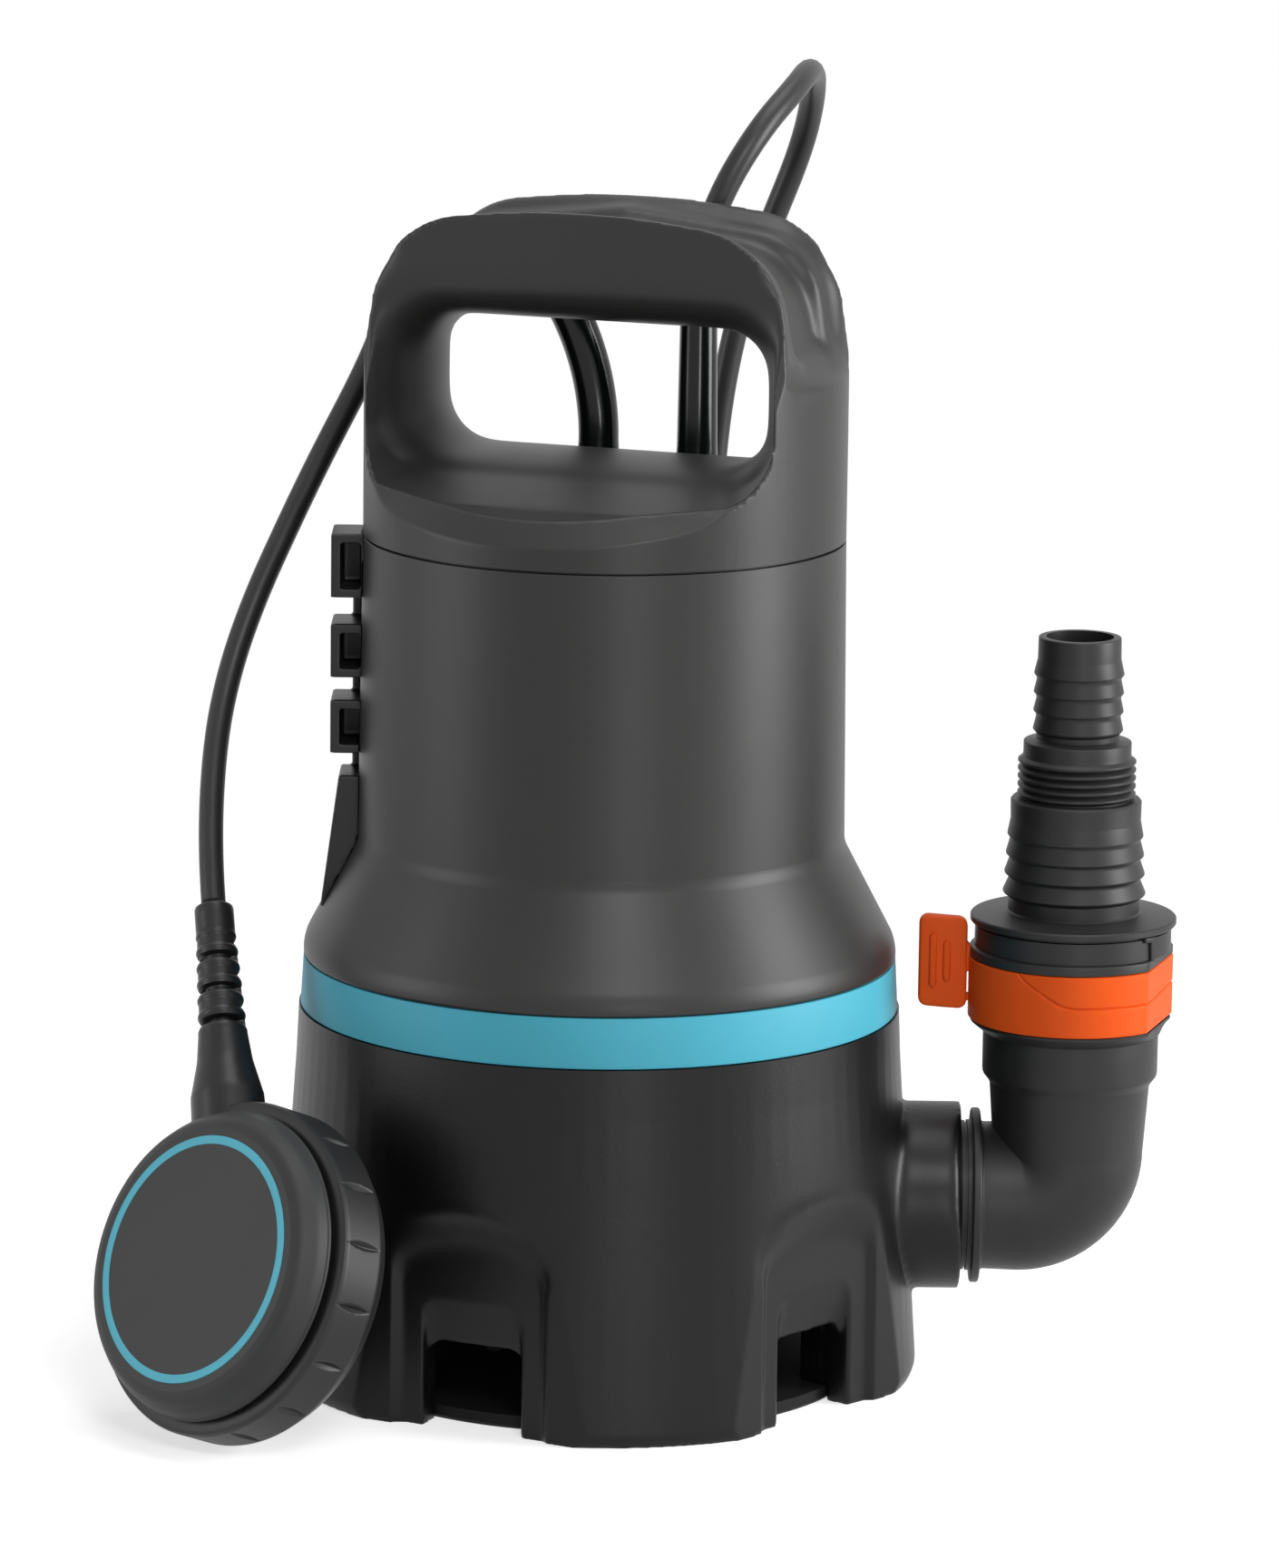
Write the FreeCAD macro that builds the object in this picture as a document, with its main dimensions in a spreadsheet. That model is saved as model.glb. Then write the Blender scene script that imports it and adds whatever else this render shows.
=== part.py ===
"""Submersible sump pump with float switch, swivelling outlet elbow and stepped hose connector.

Frame: +Z up, the pump's shaft on the Z axis, the floor at z = 0, the outlet pointing along +X.
The handle and the hand hole are turned clockwise from the outlet, seen from above.
Every driving size is a cell of the Sizes spreadsheet, in millimetres or degrees.
"""
import FreeCAD, Part
import Sketcher
import math
import os

V = FreeCAD.Vector

# Driving sizes: alias, value, what it is
SIZES = [
    ("fit_gap", 0.2, "ordinary clearance between two pieces"),
    ("turn_gap", 0.3, "clearance between pieces that turn or slide past each other"),
    ("cut_reach", 10.0, "how far a cutting piece runs past what it cuts"),
    ("close_gap", 0.05, "smallest clearance, where two pieces almost touch"),
    # casing heights, from the floor up
    ("base_height", 104.9, "top rim of the pump base"),
    ("trim_height", 14.2, "height of the coloured ring above the base"),
    ("housing_height", 119.6, "height of the motor housing above the ring, up to the cap"),
    ("cap_height", 93.8, "height of the handle cap above the housing"),
    # casing radii
    ("cap_radius", 67.4, "outside of the cap and of the housing's top"),
    ("waist_radius", 68.4, "outside of the housing just above its flare"),
    ("flare_height", 32.9, "height of the flare above the ring"),
    ("skirt_radius", 83.4, "outside of the housing's foot"),
    ("skirt_edge", 4.5, "straight edge of the housing's foot"),
    ("waist_round", 9.0, "rounding where the flare starts"),
    ("skirt_round", 11.0, "rounding above the housing's foot"),
    ("housing_wall", 3.0, "wall of the motor housing"),
    ("housing_lip", 6.9, "width of the housing's thick top rim"),
    ("housing_lip_depth", 10.0, "depth of the thick top rim"),
    ("housing_lip_taper", 6.0, "height of the taper under that rim"),
    ("seam_line", 0.7, "depth of the visible seam"),
    ("seam_depth", 1.6, "how far that seam runs in"),
    ("spigot_radius", 81.0, "outside of the housing's spigot inside the ring"),
    ("spigot_wall", 3.0, "wall of that spigot"),
    # pump base
    ("rim_radius", 84.4, "outside of the base at its top"),
    ("foot_radius", 91.2, "outside of the base near the floor"),
    ("foot_edge", 3.0, "height of the rounded bottom edge"),
    ("foot_inset", 1.0, "how far that edge runs in"),
    ("base_bore", 75.5, "inside of the base's thick lower wall"),
    ("base_bore_height", 62.0, "height of that thick wall"),
    ("base_wall", 3.4, "wall of the base above it"),
    ("seat_depth", 5.9, "ledge that carries the pump cover, below the base's rim"),
    ("ledge_depth", 5.0, "thickness of that ledge"),
    ("ledge_slope", 7.5, "height of the slope under that ledge"),
    ("ledge_radius", 77.0, "inside of that ledge"),
    ("slot_count", 5, "inlet slots round the base"),
    ("slot_azimuth", -24.0, "first slot, from the front towards the outlet"),
    ("slot_half_width", 14.6, "half width of an inlet slot"),
    ("slot_top", 24.0, "height of an inlet slot"),
    ("slot_round", 5.0, "corner radius of an inlet slot"),
    ("ramp_top", 37.0, "top of the ramp above a slot"),
    ("ramp_start", 82.2, "distance of the ramp's outer edge from the shaft"),
    ("ramp_end", 79.4, "distance of the ramp's inner edge from the shaft"),
    ("scoop_half_width", 23.6, "half width of the arched recess"),
    ("scoop_spring", 50.0, "height where the recess's arch starts"),
    ("scoop_top", 57.0, "top of the arched recess"),
    ("scoop_floor_half_width", 21.4, "half width of the recess at its back"),
    ("scoop_floor_spring", 46.0, "height where the arch starts at its back"),
    ("scoop_floor_top", 53.0, "top of the recess at its back"),
    ("facet_distance", 84.2, "distance of the flat facet from the shaft"),
    ("facet_half_width", 42.0, "half width of the tool that cuts the facet"),
    ("facet_spring", 42.6, "height where the facet's arch starts"),
    ("facet_top", 61.3, "top of the facet's arch"),
    ("leg_pocket_angle", 28.0, "angle of the hollow behind each leg"),
    ("leg_pocket_radius", 84.3, "outside of the hollow behind each leg"),
    ("leg_pocket_top", 58.0, "top of that hollow"),
    ("leg_pocket_slope", 8.0, "height of the slope at its top"),
    ("leg_pocket_floor", 2.0, "bottom of that hollow above the plate"),
    ("boss_circle", 71.0, "circle of the screw bosses in the base"),
    ("boss_radius", 5.5, "radius of a screw boss"),
    ("boss_height", 30.0, "height of a screw boss"),
    ("boss_turn", 15.0, "angle from a slot to its boss"),
    ("plate_thickness", 4.0, "bottom plate"),
    ("screw_radius", 2.0, "shank of a base screw"),
    ("screw_length", 22.0, "length of a base screw under its head"),
    ("screw_head_radius", 4.0, "head of a base screw"),
    ("screw_head_height", 2.4, "height of that head"),
    # outlet
    ("outlet_height", 50.0, "outlet axis above the floor"),
    ("stub_radius", 26.5, "outside of the outlet stub"),
    ("stub_start", 76.0, "inner end of the stub"),
    ("stub_length", 26.8, "length of the stub"),
    ("stub_bore", 19.1, "bore of the stub"),
    ("elbow_run", 24.6, "from the elbow's flange to the connector's axis"),
    ("elbow_spigot_radius", 19.0, "spigot of the elbow inside the stub"),
    ("elbow_spigot_length", 20.8, "how far that spigot runs into the stub"),
    ("elbow_groove_depth", 13.6, "inner side of the groove for the elbow's seal, from the stub's end"),
    ("groove_width", 1.6, "width of that groove"),
    ("groove_depth", 1.05, "depth of that groove"),
    ("seal_section", 0.5, "section radius of the seals on elbow and connector"),
    ("neck_radius", 21.6, "collar between stub and flange"),
    ("neck_length", 2.5, "length of that collar"),
    ("flange_thickness", 3.4, "thickness of the elbow's flange"),
    ("elbow_flange_radius", 24.8, "elbow's flange"),
    ("pipe_start_radius", 20.9, "pipe just behind the flange"),
    ("bend_radius", 21.2, "pipe in the bend"),
    ("bend_offset", 14.0, "radius of the bend's centre line"),
    ("pipe_radius", 22.8, "upright pipe under the socket"),
    ("pipe_bore", 17.2, "bore of the elbow"),
    ("socket_rise", 36.1, "underside of the socket above the outlet axis"),
    ("socket_radius", 24.75, "outside of the socket"),
    ("socket_slope", 2.0, "height of the slope under the socket"),
    ("rest_rise", 12.4, "flange that carries the collar, above the socket's underside"),
    ("rest_thickness", 3.6, "thickness of that flange"),
    ("rest_radius", 27.0, "radius of that flange"),
    ("socket_height", 33.4, "height of the socket"),
    ("socket_bore", 21.0, "bore of the socket"),
    ("socket_depth", 16.2, "depth of that bore"),
    ("collar_inner", 24.85, "inside of the locking collar"),
    ("collar_outer", 29.2, "outside of the locking collar"),
    ("collar_height", 17.5, "height of the locking collar"),
    ("tab_reach", 43.5, "reach of the thumb tab from the connector's axis"),
    ("tab_width", 13.6, "width of the thumb tab"),
    ("tab_rise", 2.6, "underside of the thumb tab above the collar's seat"),
    ("tab_height", 26.3, "height of the thumb tab"),
    ("tab_thickness", 4.6, "thickness of the thumb tab"),
    ("tab_round", 4.0, "corner radius of the thumb tab"),
    ("link_rise", 1.5, "underside of the web above the tab's underside"),
    ("link_height", 9.5, "height of the web to the tab"),
    ("link_gap", 5.0, "distance of the web from the tab's outer end"),
    ("rib_width", 1.6, "width of a rib on the tab"),
    ("rib_rise", 0.8, "how far such a rib stands out"),
    ("rib_inset", 5.5, "distance of the ribs from the tab's upper and lower edge"),
    ("first_rib", 3.2, "distance of the first rib from the tab's outer end"),
    ("rib_pitch", 4.0, "pitch of the ribs"),
    # hose connector
    ("plug_rise", 3.0, "bottom of the connector's spigot above the socket's floor"),
    ("plug_radius", 20.9, "spigot inside the elbow's socket"),
    ("plug_groove", 4.0, "height of the seal's groove above the spigot's bottom"),
    ("plug_groove_width", 1.6, "width of that groove"),
    ("plug_groove_depth", 1.05, "depth of that groove"),
    ("skirt_gap", 0.7, "gap between socket and skirt"),
    ("connector_skirt_radius", 27.6, "connector's skirt"),
    ("skirt_height", 9.6, "height of the connector's skirt"),
    ("skirt_ledge_radius", 29.0, "ledge at the foot of that skirt"),
    ("skirt_ledge_height", 2.6, "height of that ledge"),
    ("disc_thickness", 2.6, "thickness of the connector's disc"),
    ("disc_radius", 29.0, "connector's disc"),
    ("barb_foot_radius", 18.5, "neck above the disc"),
    ("large_barb_radius", 20.0, "barbs for 38 mm hose"),
    ("large_barb_valley", 18.6, "valleys between those barbs"),
    ("large_barb_taper", 0.3, "how much smaller each barb is than the one below"),
    ("barb_foot_height", 6.0, "height of the neck above the disc"),
    ("large_barb_pitch", 5.5, "pitch of the large barbs"),
    ("large_barb_length", 26.9, "length of the large barbs"),
    ("barb_step", 0.9, "axial width of a barb's edge"),
    ("thread_top_radius", 16.6, "crest of the pipe thread, 33.2 mm across"),
    ("thread_root_radius", 15.3, "root of the pipe thread"),
    ("thread_pitch", 2.309, "pitch of the pipe thread, 11 to the inch"),
    ("thread_turns", 5, "crests of the thread"),
    ("crest_start", 0.4, "start of a crest, as a share of the pitch"),
    ("crest_end", 0.6, "end of a crest, as a share of the pitch"),
    ("thread_gap", 0.4, "gap between large barbs and thread"),
    ("thread_length", 12.5, "length of the thread"),
    ("shoulder_thickness", 3.5, "thickness of the shoulder above it"),
    ("shoulder_radius", 15.15, "shoulder above the thread"),
    ("small_barb_radius", 12.7, "barbs for 25 mm hose"),
    ("small_barb_valley", 11.7, "valleys between those barbs"),
    ("small_barb_foot", 3.3, "edge of the lowest small barb above the shoulder"),
    ("small_barb_pitch", 5.25, "pitch of the small barbs"),
    ("tip_radius", 11.6, "tube above the barbs"),
    ("small_barb_length", 26.3, "from that edge to the connector's top"),
    ("tip_bore", 9.5, "bore at the top"),
    ("mid_bore", 13.0, "bore behind the thread"),
    ("low_bore", 16.5, "bore behind the large barbs"),
    # handle cap, in its own turned frame
    ("handle_turn", -20.0, "turn of the handle about the shaft"),
    ("grip_half_depth", 25.0, "half depth of the handle, front to back"),
    ("ledge_rise", 47.3, "end of the handle's side scoops above the housing"),
    ("side_half_width", 62.2, "half width of the handle at that height"),
    ("shoulder_half_width", 58.3, "half width where side and crown would meet"),
    ("shoulder_drop", 6.5, "where side and crown would meet, below the top of the handle"),
    ("shoulder_round", 28.0, "rounding of the handle's shoulders"),
    ("crown_round", 250.0, "rounding of the crown"),
    ("scoop_round", 30.0, "rounding where the handle's faces turn into the lip"),
    ("brow_round", 70.0, "rounding where the handle's faces start to lean out"),
    ("lean_rise", 57.3, "where they start to lean out, above the housing"),
    ("foot_rise", 18.6, "foot of the leaning faces above the housing"),
    ("foot_half_depth", 42.0, "half depth of the handle at that foot"),
    ("lip_rise", 12.6, "cap's front lip above the housing"),
    ("mouth_half_width", 72.0, "half width of the hand hole's mouth beyond the lip"),
    ("hole_half_width", 51.0, "half width of the hand hole at its throat"),
    ("hole_height", 37.6, "height of the hand hole at its throat"),
    ("hole_rise", 22.7, "floor of the hand hole above the housing"),
    ("hole_round", 14.0, "corner radius of the hand hole"),
    ("hole_mid", 14.0, "distance of the second section from the throat"),
    ("hole_mid_spread", 1.6, "how much wider the hole is there"),
    ("hole_mouth_spread", 6.8, "how much wider the hole is at its mouth"),
    ("brow_height", 21.5, "height of the handle's face above the hole's mouth"),
    ("hole_mouth_drop", 3.4, "how much lower its floor is at its mouth"),
    ("bevel_radius", 62.0, "distance of the bevel's inner edge from the shaft"),
    ("bevel_height", 5.0, "height of that bevel at the cap's outside"),
    ("valley_half_depth", 20.5, "half depth of the valley on the crown"),
    ("valley_drop", 7.5, "depth of that valley in its middle"),
    ("valley_edge_share", 0.45, "depth of its outer part, as a share of that"),
    ("valley_middle_share", 0.6, "half depth of its deep middle, as a share of the whole"),
    ("valley_side", 5.6, "depth of the valley at the shoulders"),
    ("valley_slope", 9.0, "height of the valley's sloping end"),
    ("valley_round", 22.0, "rounding of the valley at the shoulders"),
    ("cavity_radius", 50.0, "hollow inside the cap"),
    ("cavity_depth", 10.3, "depth of that hollow above the housing"),
    # cable glands
    ("gland_spacing", 29.6, "distance between the two glands"),
    ("gland_back", 34.0, "distance of the glands behind the handle's middle"),
    ("gland_radius", 6.3, "sleeve of a gland at the cap"),
    ("gland_neck_radius", 5.7, "sleeve of a gland where it starts to bend"),
    ("gland_tip_radius", 5.2, "tip of a sleeve"),
    ("gland_flange_radius", 8.0, "flange of a gland"),
    ("gland_flange_height", 3.0, "thickness of that flange"),
    ("mains_gland_rise", 61.3, "top of the mains sleeve above the housing"),
    ("float_gland_rise", 21.3, "where the float sleeve starts to bend, above the housing"),
    ("float_gland_curve", 74.0, "radius of that bend"),
    ("float_gland_angle", 34.0, "angle of that bend"),
    ("clamp_length", 54.0, "length of the cable clamp"),
    ("clamp_width", 14.0, "width of the cable clamp"),
    ("clamp_height", 4.8, "thickness of the cable clamp"),
    ("clamp_post_length", 9.0, "length of the post in its middle"),
    ("clamp_hole_radius", 4.3, "hole for a cable"),
    ("clamp_screw_spread", 4.0, "distance of its screws from its middle"),
    ("clamp_screw_radius", 1.5, "shank of those screws"),
    ("clamp_head_radius", 3.0, "head of those screws"),
    ("clamp_head_height", 2.0, "height of that head"),
    # clip rail
    ("rail_stand", 8.6, "how far the cable hooks stand out beyond the cap"),
    ("rail_front", 8.0, "front edge of the rail"),
    ("rail_width", 18.0, "width of the rail"),
    ("hook_wall", 2.6, "wall of a cable hook"),
    ("hook_depth", 14.0, "depth of the opening in a hook"),
    ("rail_back_depth", 9.4, "depth of the strip that joins the hooks"),
    ("rail_back_gap", 0.6, "how far that strip stands behind the openings"),
    ("rail_back_inset", 5.6, "distance of that strip from the outside of the hooks"),
    ("throat_stand", 2.2, "inner side of the opening in a hook, beyond the cap"),
    ("hook_rise", 0.1, "how far the top hook stands above the seam"),
    ("top_hook_height", 18.0, "height of the top hook"),
    ("hook_height", 15.2, "height of the other hooks"),
    ("middle_hook_gap", 7.4, "gap between the top and the middle hook"),
    ("lower_hook_gap", 6.3, "gap between the middle and the lower hook"),
    ("block_gap", 6.3, "gap between the lower hook and the tapered block"),
    ("block_top_stand", 6.2, "top of the block under the hooks, beyond the cap"),
    ("block_rise", 13.9, "bottom of the tapered block above the ring"),
    ("block_bottom_stand", 11.2, "bottom of that block, beyond the cap"),
    # pump and motor inside
    ("casing_radius", 58.0, "outside of the volute casing"),
    ("casing_wall", 4.0, "wall of the volute casing"),
    ("casing_drop", 22.0, "underside of the volute casing, below the outlet axis"),
    ("inlet_radius", 16.0, "inlet eye in its floor"),
    ("spout_radius", 19.0, "outlet spout of the casing"),
    ("spout_bore", 16.5, "bore of that spout"),
    ("rib_count", 6, "ribs under the volute casing"),
    ("rib_thickness", 3.0, "thickness of a rib"),
    ("rib_start", 24.0, "inner end of a rib"),
    ("rib_end", 57.0, "outer end of a rib"),
    ("rib_drop", 12.0, "height of a rib"),
    ("cover_thickness", 7.0, "plate of the pump cover"),
    ("hub_radius", 53.7, "hub of the pump cover"),
    ("hub_rise", 16.0, "underside of that hub above the outlet axis"),
    ("seal_radius", 11.0, "pocket for the shaft seals"),
    ("seal_height", 7.0, "height of a shaft seal"),
    ("seal_wall", 1.6, "wall of a shaft seal"),
    ("seal_floor", 2.6, "thickness of its lip's floor"),
    ("oil_radius", 24.0, "oil chamber"),
    ("oil_floor", 9.0, "floor of the oil chamber"),
    ("oil_depth", 11.0, "top of the oil chamber below the cover's seat"),
    ("moat_inner", 28.0, "inside of the hollow round the oil chamber"),
    ("moat_outer", 42.0, "outside of that hollow"),
    ("moat_floor", 6.0, "floor of that hollow"),
    ("bearing_radius", 14.0, "outside of a bearing"),
    ("bearing_width", 8.0, "width of a bearing"),
    ("bearing_race", 2.0, "thickness of a race"),
    ("ball_radius", 1.85, "balls of a bearing"),
    ("ball_count", 8, "balls in a bearing"),
    ("bearing_sink", 1.0, "underside of the lower bearing below the cover's seat"),
    ("bearing_span", 94.0, "distance between the two bearings"),
    ("shaft_radius", 6.0, "motor shaft"),
    ("shaft_drop", 11.0, "shoulder for the impeller, below the outlet axis"),
    ("stud_length", 5.4, "length of the threaded end"),
    ("stud_radius", 4.0, "threaded end"),
    ("shaft_end", 9.0, "top of the shaft above the upper bearing"),
    ("impeller_radius", 46.0, "impeller"),
    ("disc_rise", 10.0, "underside of the impeller's disc above the outlet axis"),
    ("impeller_plate", 3.0, "thickness of the impeller's disc"),
    ("impeller_hub", 10.0, "hub of the impeller"),
    ("vane_count", 7, "vanes of the impeller"),
    ("vane_drop", 3.0, "underside of the vanes below the outlet axis"),
    ("vane_thickness", 3.0, "thickness of a vane"),
    ("nut_radius", 7.0, "impeller nut, corner to centre"),
    ("nut_height", 5.0, "height of the nut"),
    ("can_radius", 48.5, "outside of the motor can"),
    ("can_wall", 1.5, "wall of the motor can"),
    ("can_drop", 2.0, "top of the motor can below the upper bearing"),
    ("core_rise", 27.0, "underside of the stator and rotor cores above the lower bearing"),
    ("core_height", 45.0, "height of both cores"),
    ("rotor_radius", 26.9, "rotor core"),
    ("stator_bore", 27.5, "bore of the stator"),
    ("stator_slots", 12, "slots of the stator"),
    ("stator_slot_width", 5.0, "width of a stator slot"),
    ("stator_slot_end", 40.0, "outer end of a stator slot"),
    ("winding_inner", 30.0, "inside of the end windings"),
    ("winding_outer", 44.5, "outside of the end windings"),
    ("winding_height", 14.0, "height of an end winding"),
    ("winding_round", 5.0, "rounding of an end winding"),
    ("end_ring_height", 5.0, "height of a rotor end ring"),
    ("end_ring_inner", 12.0, "inside of a rotor end ring"),
    ("bracket_rise", 12.0, "top of the upper bracket above the upper bearing"),
    ("bracket_rim", 5.0, "width of the bracket's spigot in the can"),
    ("bracket_spigot", 3.0, "depth of that spigot"),
    ("bracket_lid", 4.0, "underside of the bracket above the can's top"),
    ("rod_inset", 10.4, "distance of the tie rods from the cap's outside"),
    ("rod_radius", 2.5, "tie rod"),
    ("rod_rise", 7.3, "top of the tie rods above the housing"),
    ("rod_depth", 6.0, "how deep a tie rod sits in the pump cover"),
    ("rod_nut_radius", 4.2, "nut of a tie rod on the pump cover"),
    ("rod_nut_height", 4.0, "height of that nut"),
    ("capacitor_radius", 15.0, "start capacitor"),
    ("capacitor_length", 54.0, "length of the start capacitor"),
    ("capacitor_offset", -20.0, "place of the capacitor in front of the shaft"),
    ("tag_length", 8.0, "length of the capacitor's tags"),
    ("tag_height", 6.0, "height of those tags"),
    ("tag_spacing", 10.0, "distance between them"),
    ("terminal_length", 34.0, "terminal block, length"),
    ("terminal_width", 14.0, "terminal block, width and height"),
    ("terminal_back", 15.0, "terminal block's middle behind the shaft"),
    ("terminal_pitch", 8.0, "pitch of its wells"),
    ("well_radius", 2.2, "radius of its wells"),
    ("well_depth", 5.0, "depth of its wells"),
    ("cutout_length", 14.0, "thermal cutout, length"),
    ("cutout_width", 9.0, "thermal cutout, width"),
    ("cutout_height", 4.0, "thermal cutout, height"),
    ("cutout_back", 28.0, "thermal cutout's front side behind the shaft"),
    # float switch, in its own frame: Z out of its face, Y along its cable
    ("float_azimuth", -45.7, "direction that the float faces"),
    ("float_tilt", 22.3, "upward tilt of its face"),
    ("float_roll", 29.0, "turn of its cable about the face's axis"),
    ("float_left", 96.8, "float's middle, left of the shaft"),
    ("float_front", 80.7, "float's middle, in front of the shaft"),
    ("float_height", 45.8, "float's middle above the floor"),
    ("float_radius", 46.7, "float's grip rim"),
    ("float_rim", 7.5, "half height of the grip rim"),
    ("face_depth", 19.0, "float's face from its middle"),
    ("bezel_radius", 43.6, "outside of the float's front shell"),
    ("bezel_taper", 1.6, "how much narrower the front shell is near its face"),
    ("bezel_shoulder", 4.6, "depth of that narrower edge below the face"),
    ("bezel_start", 8.5, "where the shell starts to taper, below the face"),
    ("face_sink", 0.4, "how far the face lies below its rim"),
    ("face_round", 3.0, "rounding of the face's rim"),
    ("bezel_round", 6.0, "rounding of the shell's shoulder"),
    ("face_radius", 36.6, "outside of the flat face"),
    ("ring_outer", 35.2, "outside of the face's ring"),
    ("ring_inner", 32.8, "inside of the face's ring"),
    ("ring_depth", 1.0, "thickness of the face's ring"),
    ("float_wall", 2.6, "wall of the float"),
    ("float_back", 18.5, "float's back from its middle"),
    ("back_flat", 30.0, "radius of the flat part of the float's back"),
    ("back_rise", 1.0, "how far that flat part is domed"),
    ("back_edge", 4.5, "height of the back's rounded edge"),
    ("notch_count", 20, "grip notches round the float"),
    ("notch_width", 3.2, "width of a notch"),
    ("notch_depth", 1.1, "depth of a notch"),
    ("boot_foot_radius", 10.4, "boot where it meets the float"),
    ("boot_foot_end", 62.0, "end of the boot's foot"),
    ("boot_neck_radius", 6.9, "boot under its slots"),
    ("boot_neck_start", 73.0, "start of that neck"),
    ("boot_tip_radius", 5.5, "boot at its tip"),
    ("boot_tip_start", 103.0, "end of the boot's slots"),
    ("boot_end", 111.0, "tip of the boot from the float's middle"),
    ("boot_slots", 6, "slots of the boot"),
    ("boot_slot_height", 2.1, "height of a slot"),
    ("boot_foot_taper", 8.0, "length of the boot's cone before the end of its foot"),
    ("boot_core", 1.6, "how far the slots stay from the boot's axis"),
    ("ball_tube_radius", 8.0, "tube of the switch ball"),
    ("ball_tube_bore", 6.3, "bore of that tube"),
    ("micro_switch_length", 20.0, "float's switch, length"),
    ("micro_switch_width", 11.0, "its width"),
    ("micro_switch_height", 8.0, "its height"),
    ("ball_tube_length", 42.0, "length of that tube"),
    ("switch_ball_radius", 6.0, "steel ball"),
    # cords
    ("mains_diameter", 7.2, "mains cable"),
    ("float_cable_diameter", 7.0, "float cable"),
    ("mains_length", 10000.0, "whole length of the mains cable"),
    ("coil_gap", 0.5, "gap between neighbouring turns"),
    ("loose_length", 662.0, "length of the mains cable outside its coil"),
    ("coil_turns", 5.875, "turns in a layer"),
    ("coil_layers", 4, "layers of the coil"),
    ("coil_back", 192.0, "coil's middle behind the shaft"),
    ("coil_lift", 1.2, "room for the tie under the coil"),
    ("coil_start", 10.0, "azimuth where the coil starts, from +X"),
    ("tie_width", 16.0, "width of the coil's tie"),
    ("tie_thickness", 0.9, "thickness of the coil's tie"),
    ("plug_length", 46.0, "length of the plug's body"),
    ("plug_waist_radius", 12.0, "plug where its grip meets its flare"),
    ("tail_length", 78.0, "length of the cable's end along the floor"),
    ("plug_body_radius", 19.0, "radius of the plug's face"),
    ("plug_neck_radius", 6.5, "plug's neck"),
    ("pin_spacing", 19.0, "distance between the plug's pins"),
    ("pin_radius", 2.4, "radius of a pin"),
    ("pin_length", 19.0, "length of a pin"),
]


class Size:
    """A number together with the spreadsheet formula that it comes from."""

    def __init__(self, number, text):
        self.number = float(number)
        self.text = text

    def join(self, other, sign, number):
        other = as_size(other)
        return Size(number, "(%s %s %s)" % (self.text, sign, other.text))

    def __add__(self, other):
        return self.join(other, "+", self.number + as_size(other).number)

    def __sub__(self, other):
        return self.join(other, "-", self.number - as_size(other).number)

    def __mul__(self, other):
        return self.join(other, "*", self.number * as_size(other).number)

    def __truediv__(self, other):
        return self.join(other, "/", self.number / as_size(other).number)

    def __radd__(self, other):
        return as_size(other) + self

    def __rsub__(self, other):
        return as_size(other) - self

    def __rmul__(self, other):
        return as_size(other) * self

    def __rtruediv__(self, other):
        return as_size(other) / self

    def __neg__(self):
        return Size(-self.number, "(-1 * %s)" % self.text)

    def __float__(self):
        return self.number


def as_size(value):
    return value if isinstance(value, Size) else Size(value, "%r" % float(value))


def root(value):
    return Size(math.sqrt(value.number), "sqrt(%s)" % value.text)


def sine(angle):
    return Size(math.sin(math.radians(angle.number)), "sin(%s)" % angle.text)


def cosine(angle):
    return Size(math.cos(math.radians(angle.number)), "cos(%s)" % angle.text)


class Named:
    """Holds one Size for each cell of the spreadsheet."""


doc = FreeCAD.newDocument("SumpPump")
sheet = doc.addObject("Spreadsheet::Sheet", "Sizes")
s = Named()
for row, (alias, value, meaning) in enumerate(SIZES, 1):
    sheet.set("A%d" % row, meaning)
    sheet.set("B%d" % row, str(value))
    sheet.setAlias("B%d" % row, alias)
    setattr(s, alias, Size(value, "Sizes.%s" % alias))
doc.recompute()

# Heights and distances that follow from the driving sizes
s.ring_top = s.base_height + s.trim_height
s.seam_height = s.ring_top + s.housing_height
s.waist_height = s.ring_top + s.flare_height
s.crown_height = s.seam_height + s.cap_height
s.rail_reach = s.cap_radius + s.rail_stand
s.hook_throat = s.cap_radius + s.throat_stand
s.block_top_reach = s.cap_radius + s.block_top_stand
s.block_bottom_reach = s.cap_radius + s.block_bottom_stand
s.rod_circle = s.cap_radius - s.rod_inset
s.shoulder_height = s.crown_height - s.shoulder_drop
s.side_ledge = s.seam_height + s.ledge_rise
s.scoop_bottom = s.seam_height + s.lip_rise
s.lean_height = s.seam_height + s.lean_rise
s.foot_height = s.seam_height + s.foot_rise
s.hole_bottom = s.seam_height + s.hole_rise
s.hole_top = s.hole_bottom + s.hole_height
s.hole_mouth_lift = s.crown_height - s.brow_height - s.hole_top
s.cavity_top = s.seam_height + s.cavity_depth
s.mains_gland_top = s.seam_height + s.mains_gland_rise
s.float_gland_bend = s.seam_height + s.float_gland_rise
s.rod_top = s.seam_height + s.rod_rise
s.top_hook_bottom = s.seam_height + s.hook_rise - s.top_hook_height
s.middle_hook_bottom = s.top_hook_bottom - s.middle_hook_gap - s.hook_height
s.lower_hook_bottom = s.middle_hook_bottom - s.lower_hook_gap - s.hook_height
s.block_top = s.lower_hook_bottom - s.block_gap
s.block_bottom = s.ring_top + s.block_rise
s.cover_seat = s.base_height - s.seat_depth
s.casing_bottom = s.outlet_height - s.casing_drop
s.hub_bottom = s.outlet_height + s.hub_rise
s.oil_bottom = s.hub_bottom + s.oil_floor
s.oil_top = s.cover_seat - s.oil_depth
s.moat_bottom = s.hub_bottom + s.moat_floor
s.vane_bottom = s.outlet_height - s.vane_drop
s.impeller_disc = s.outlet_height + s.disc_rise
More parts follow.
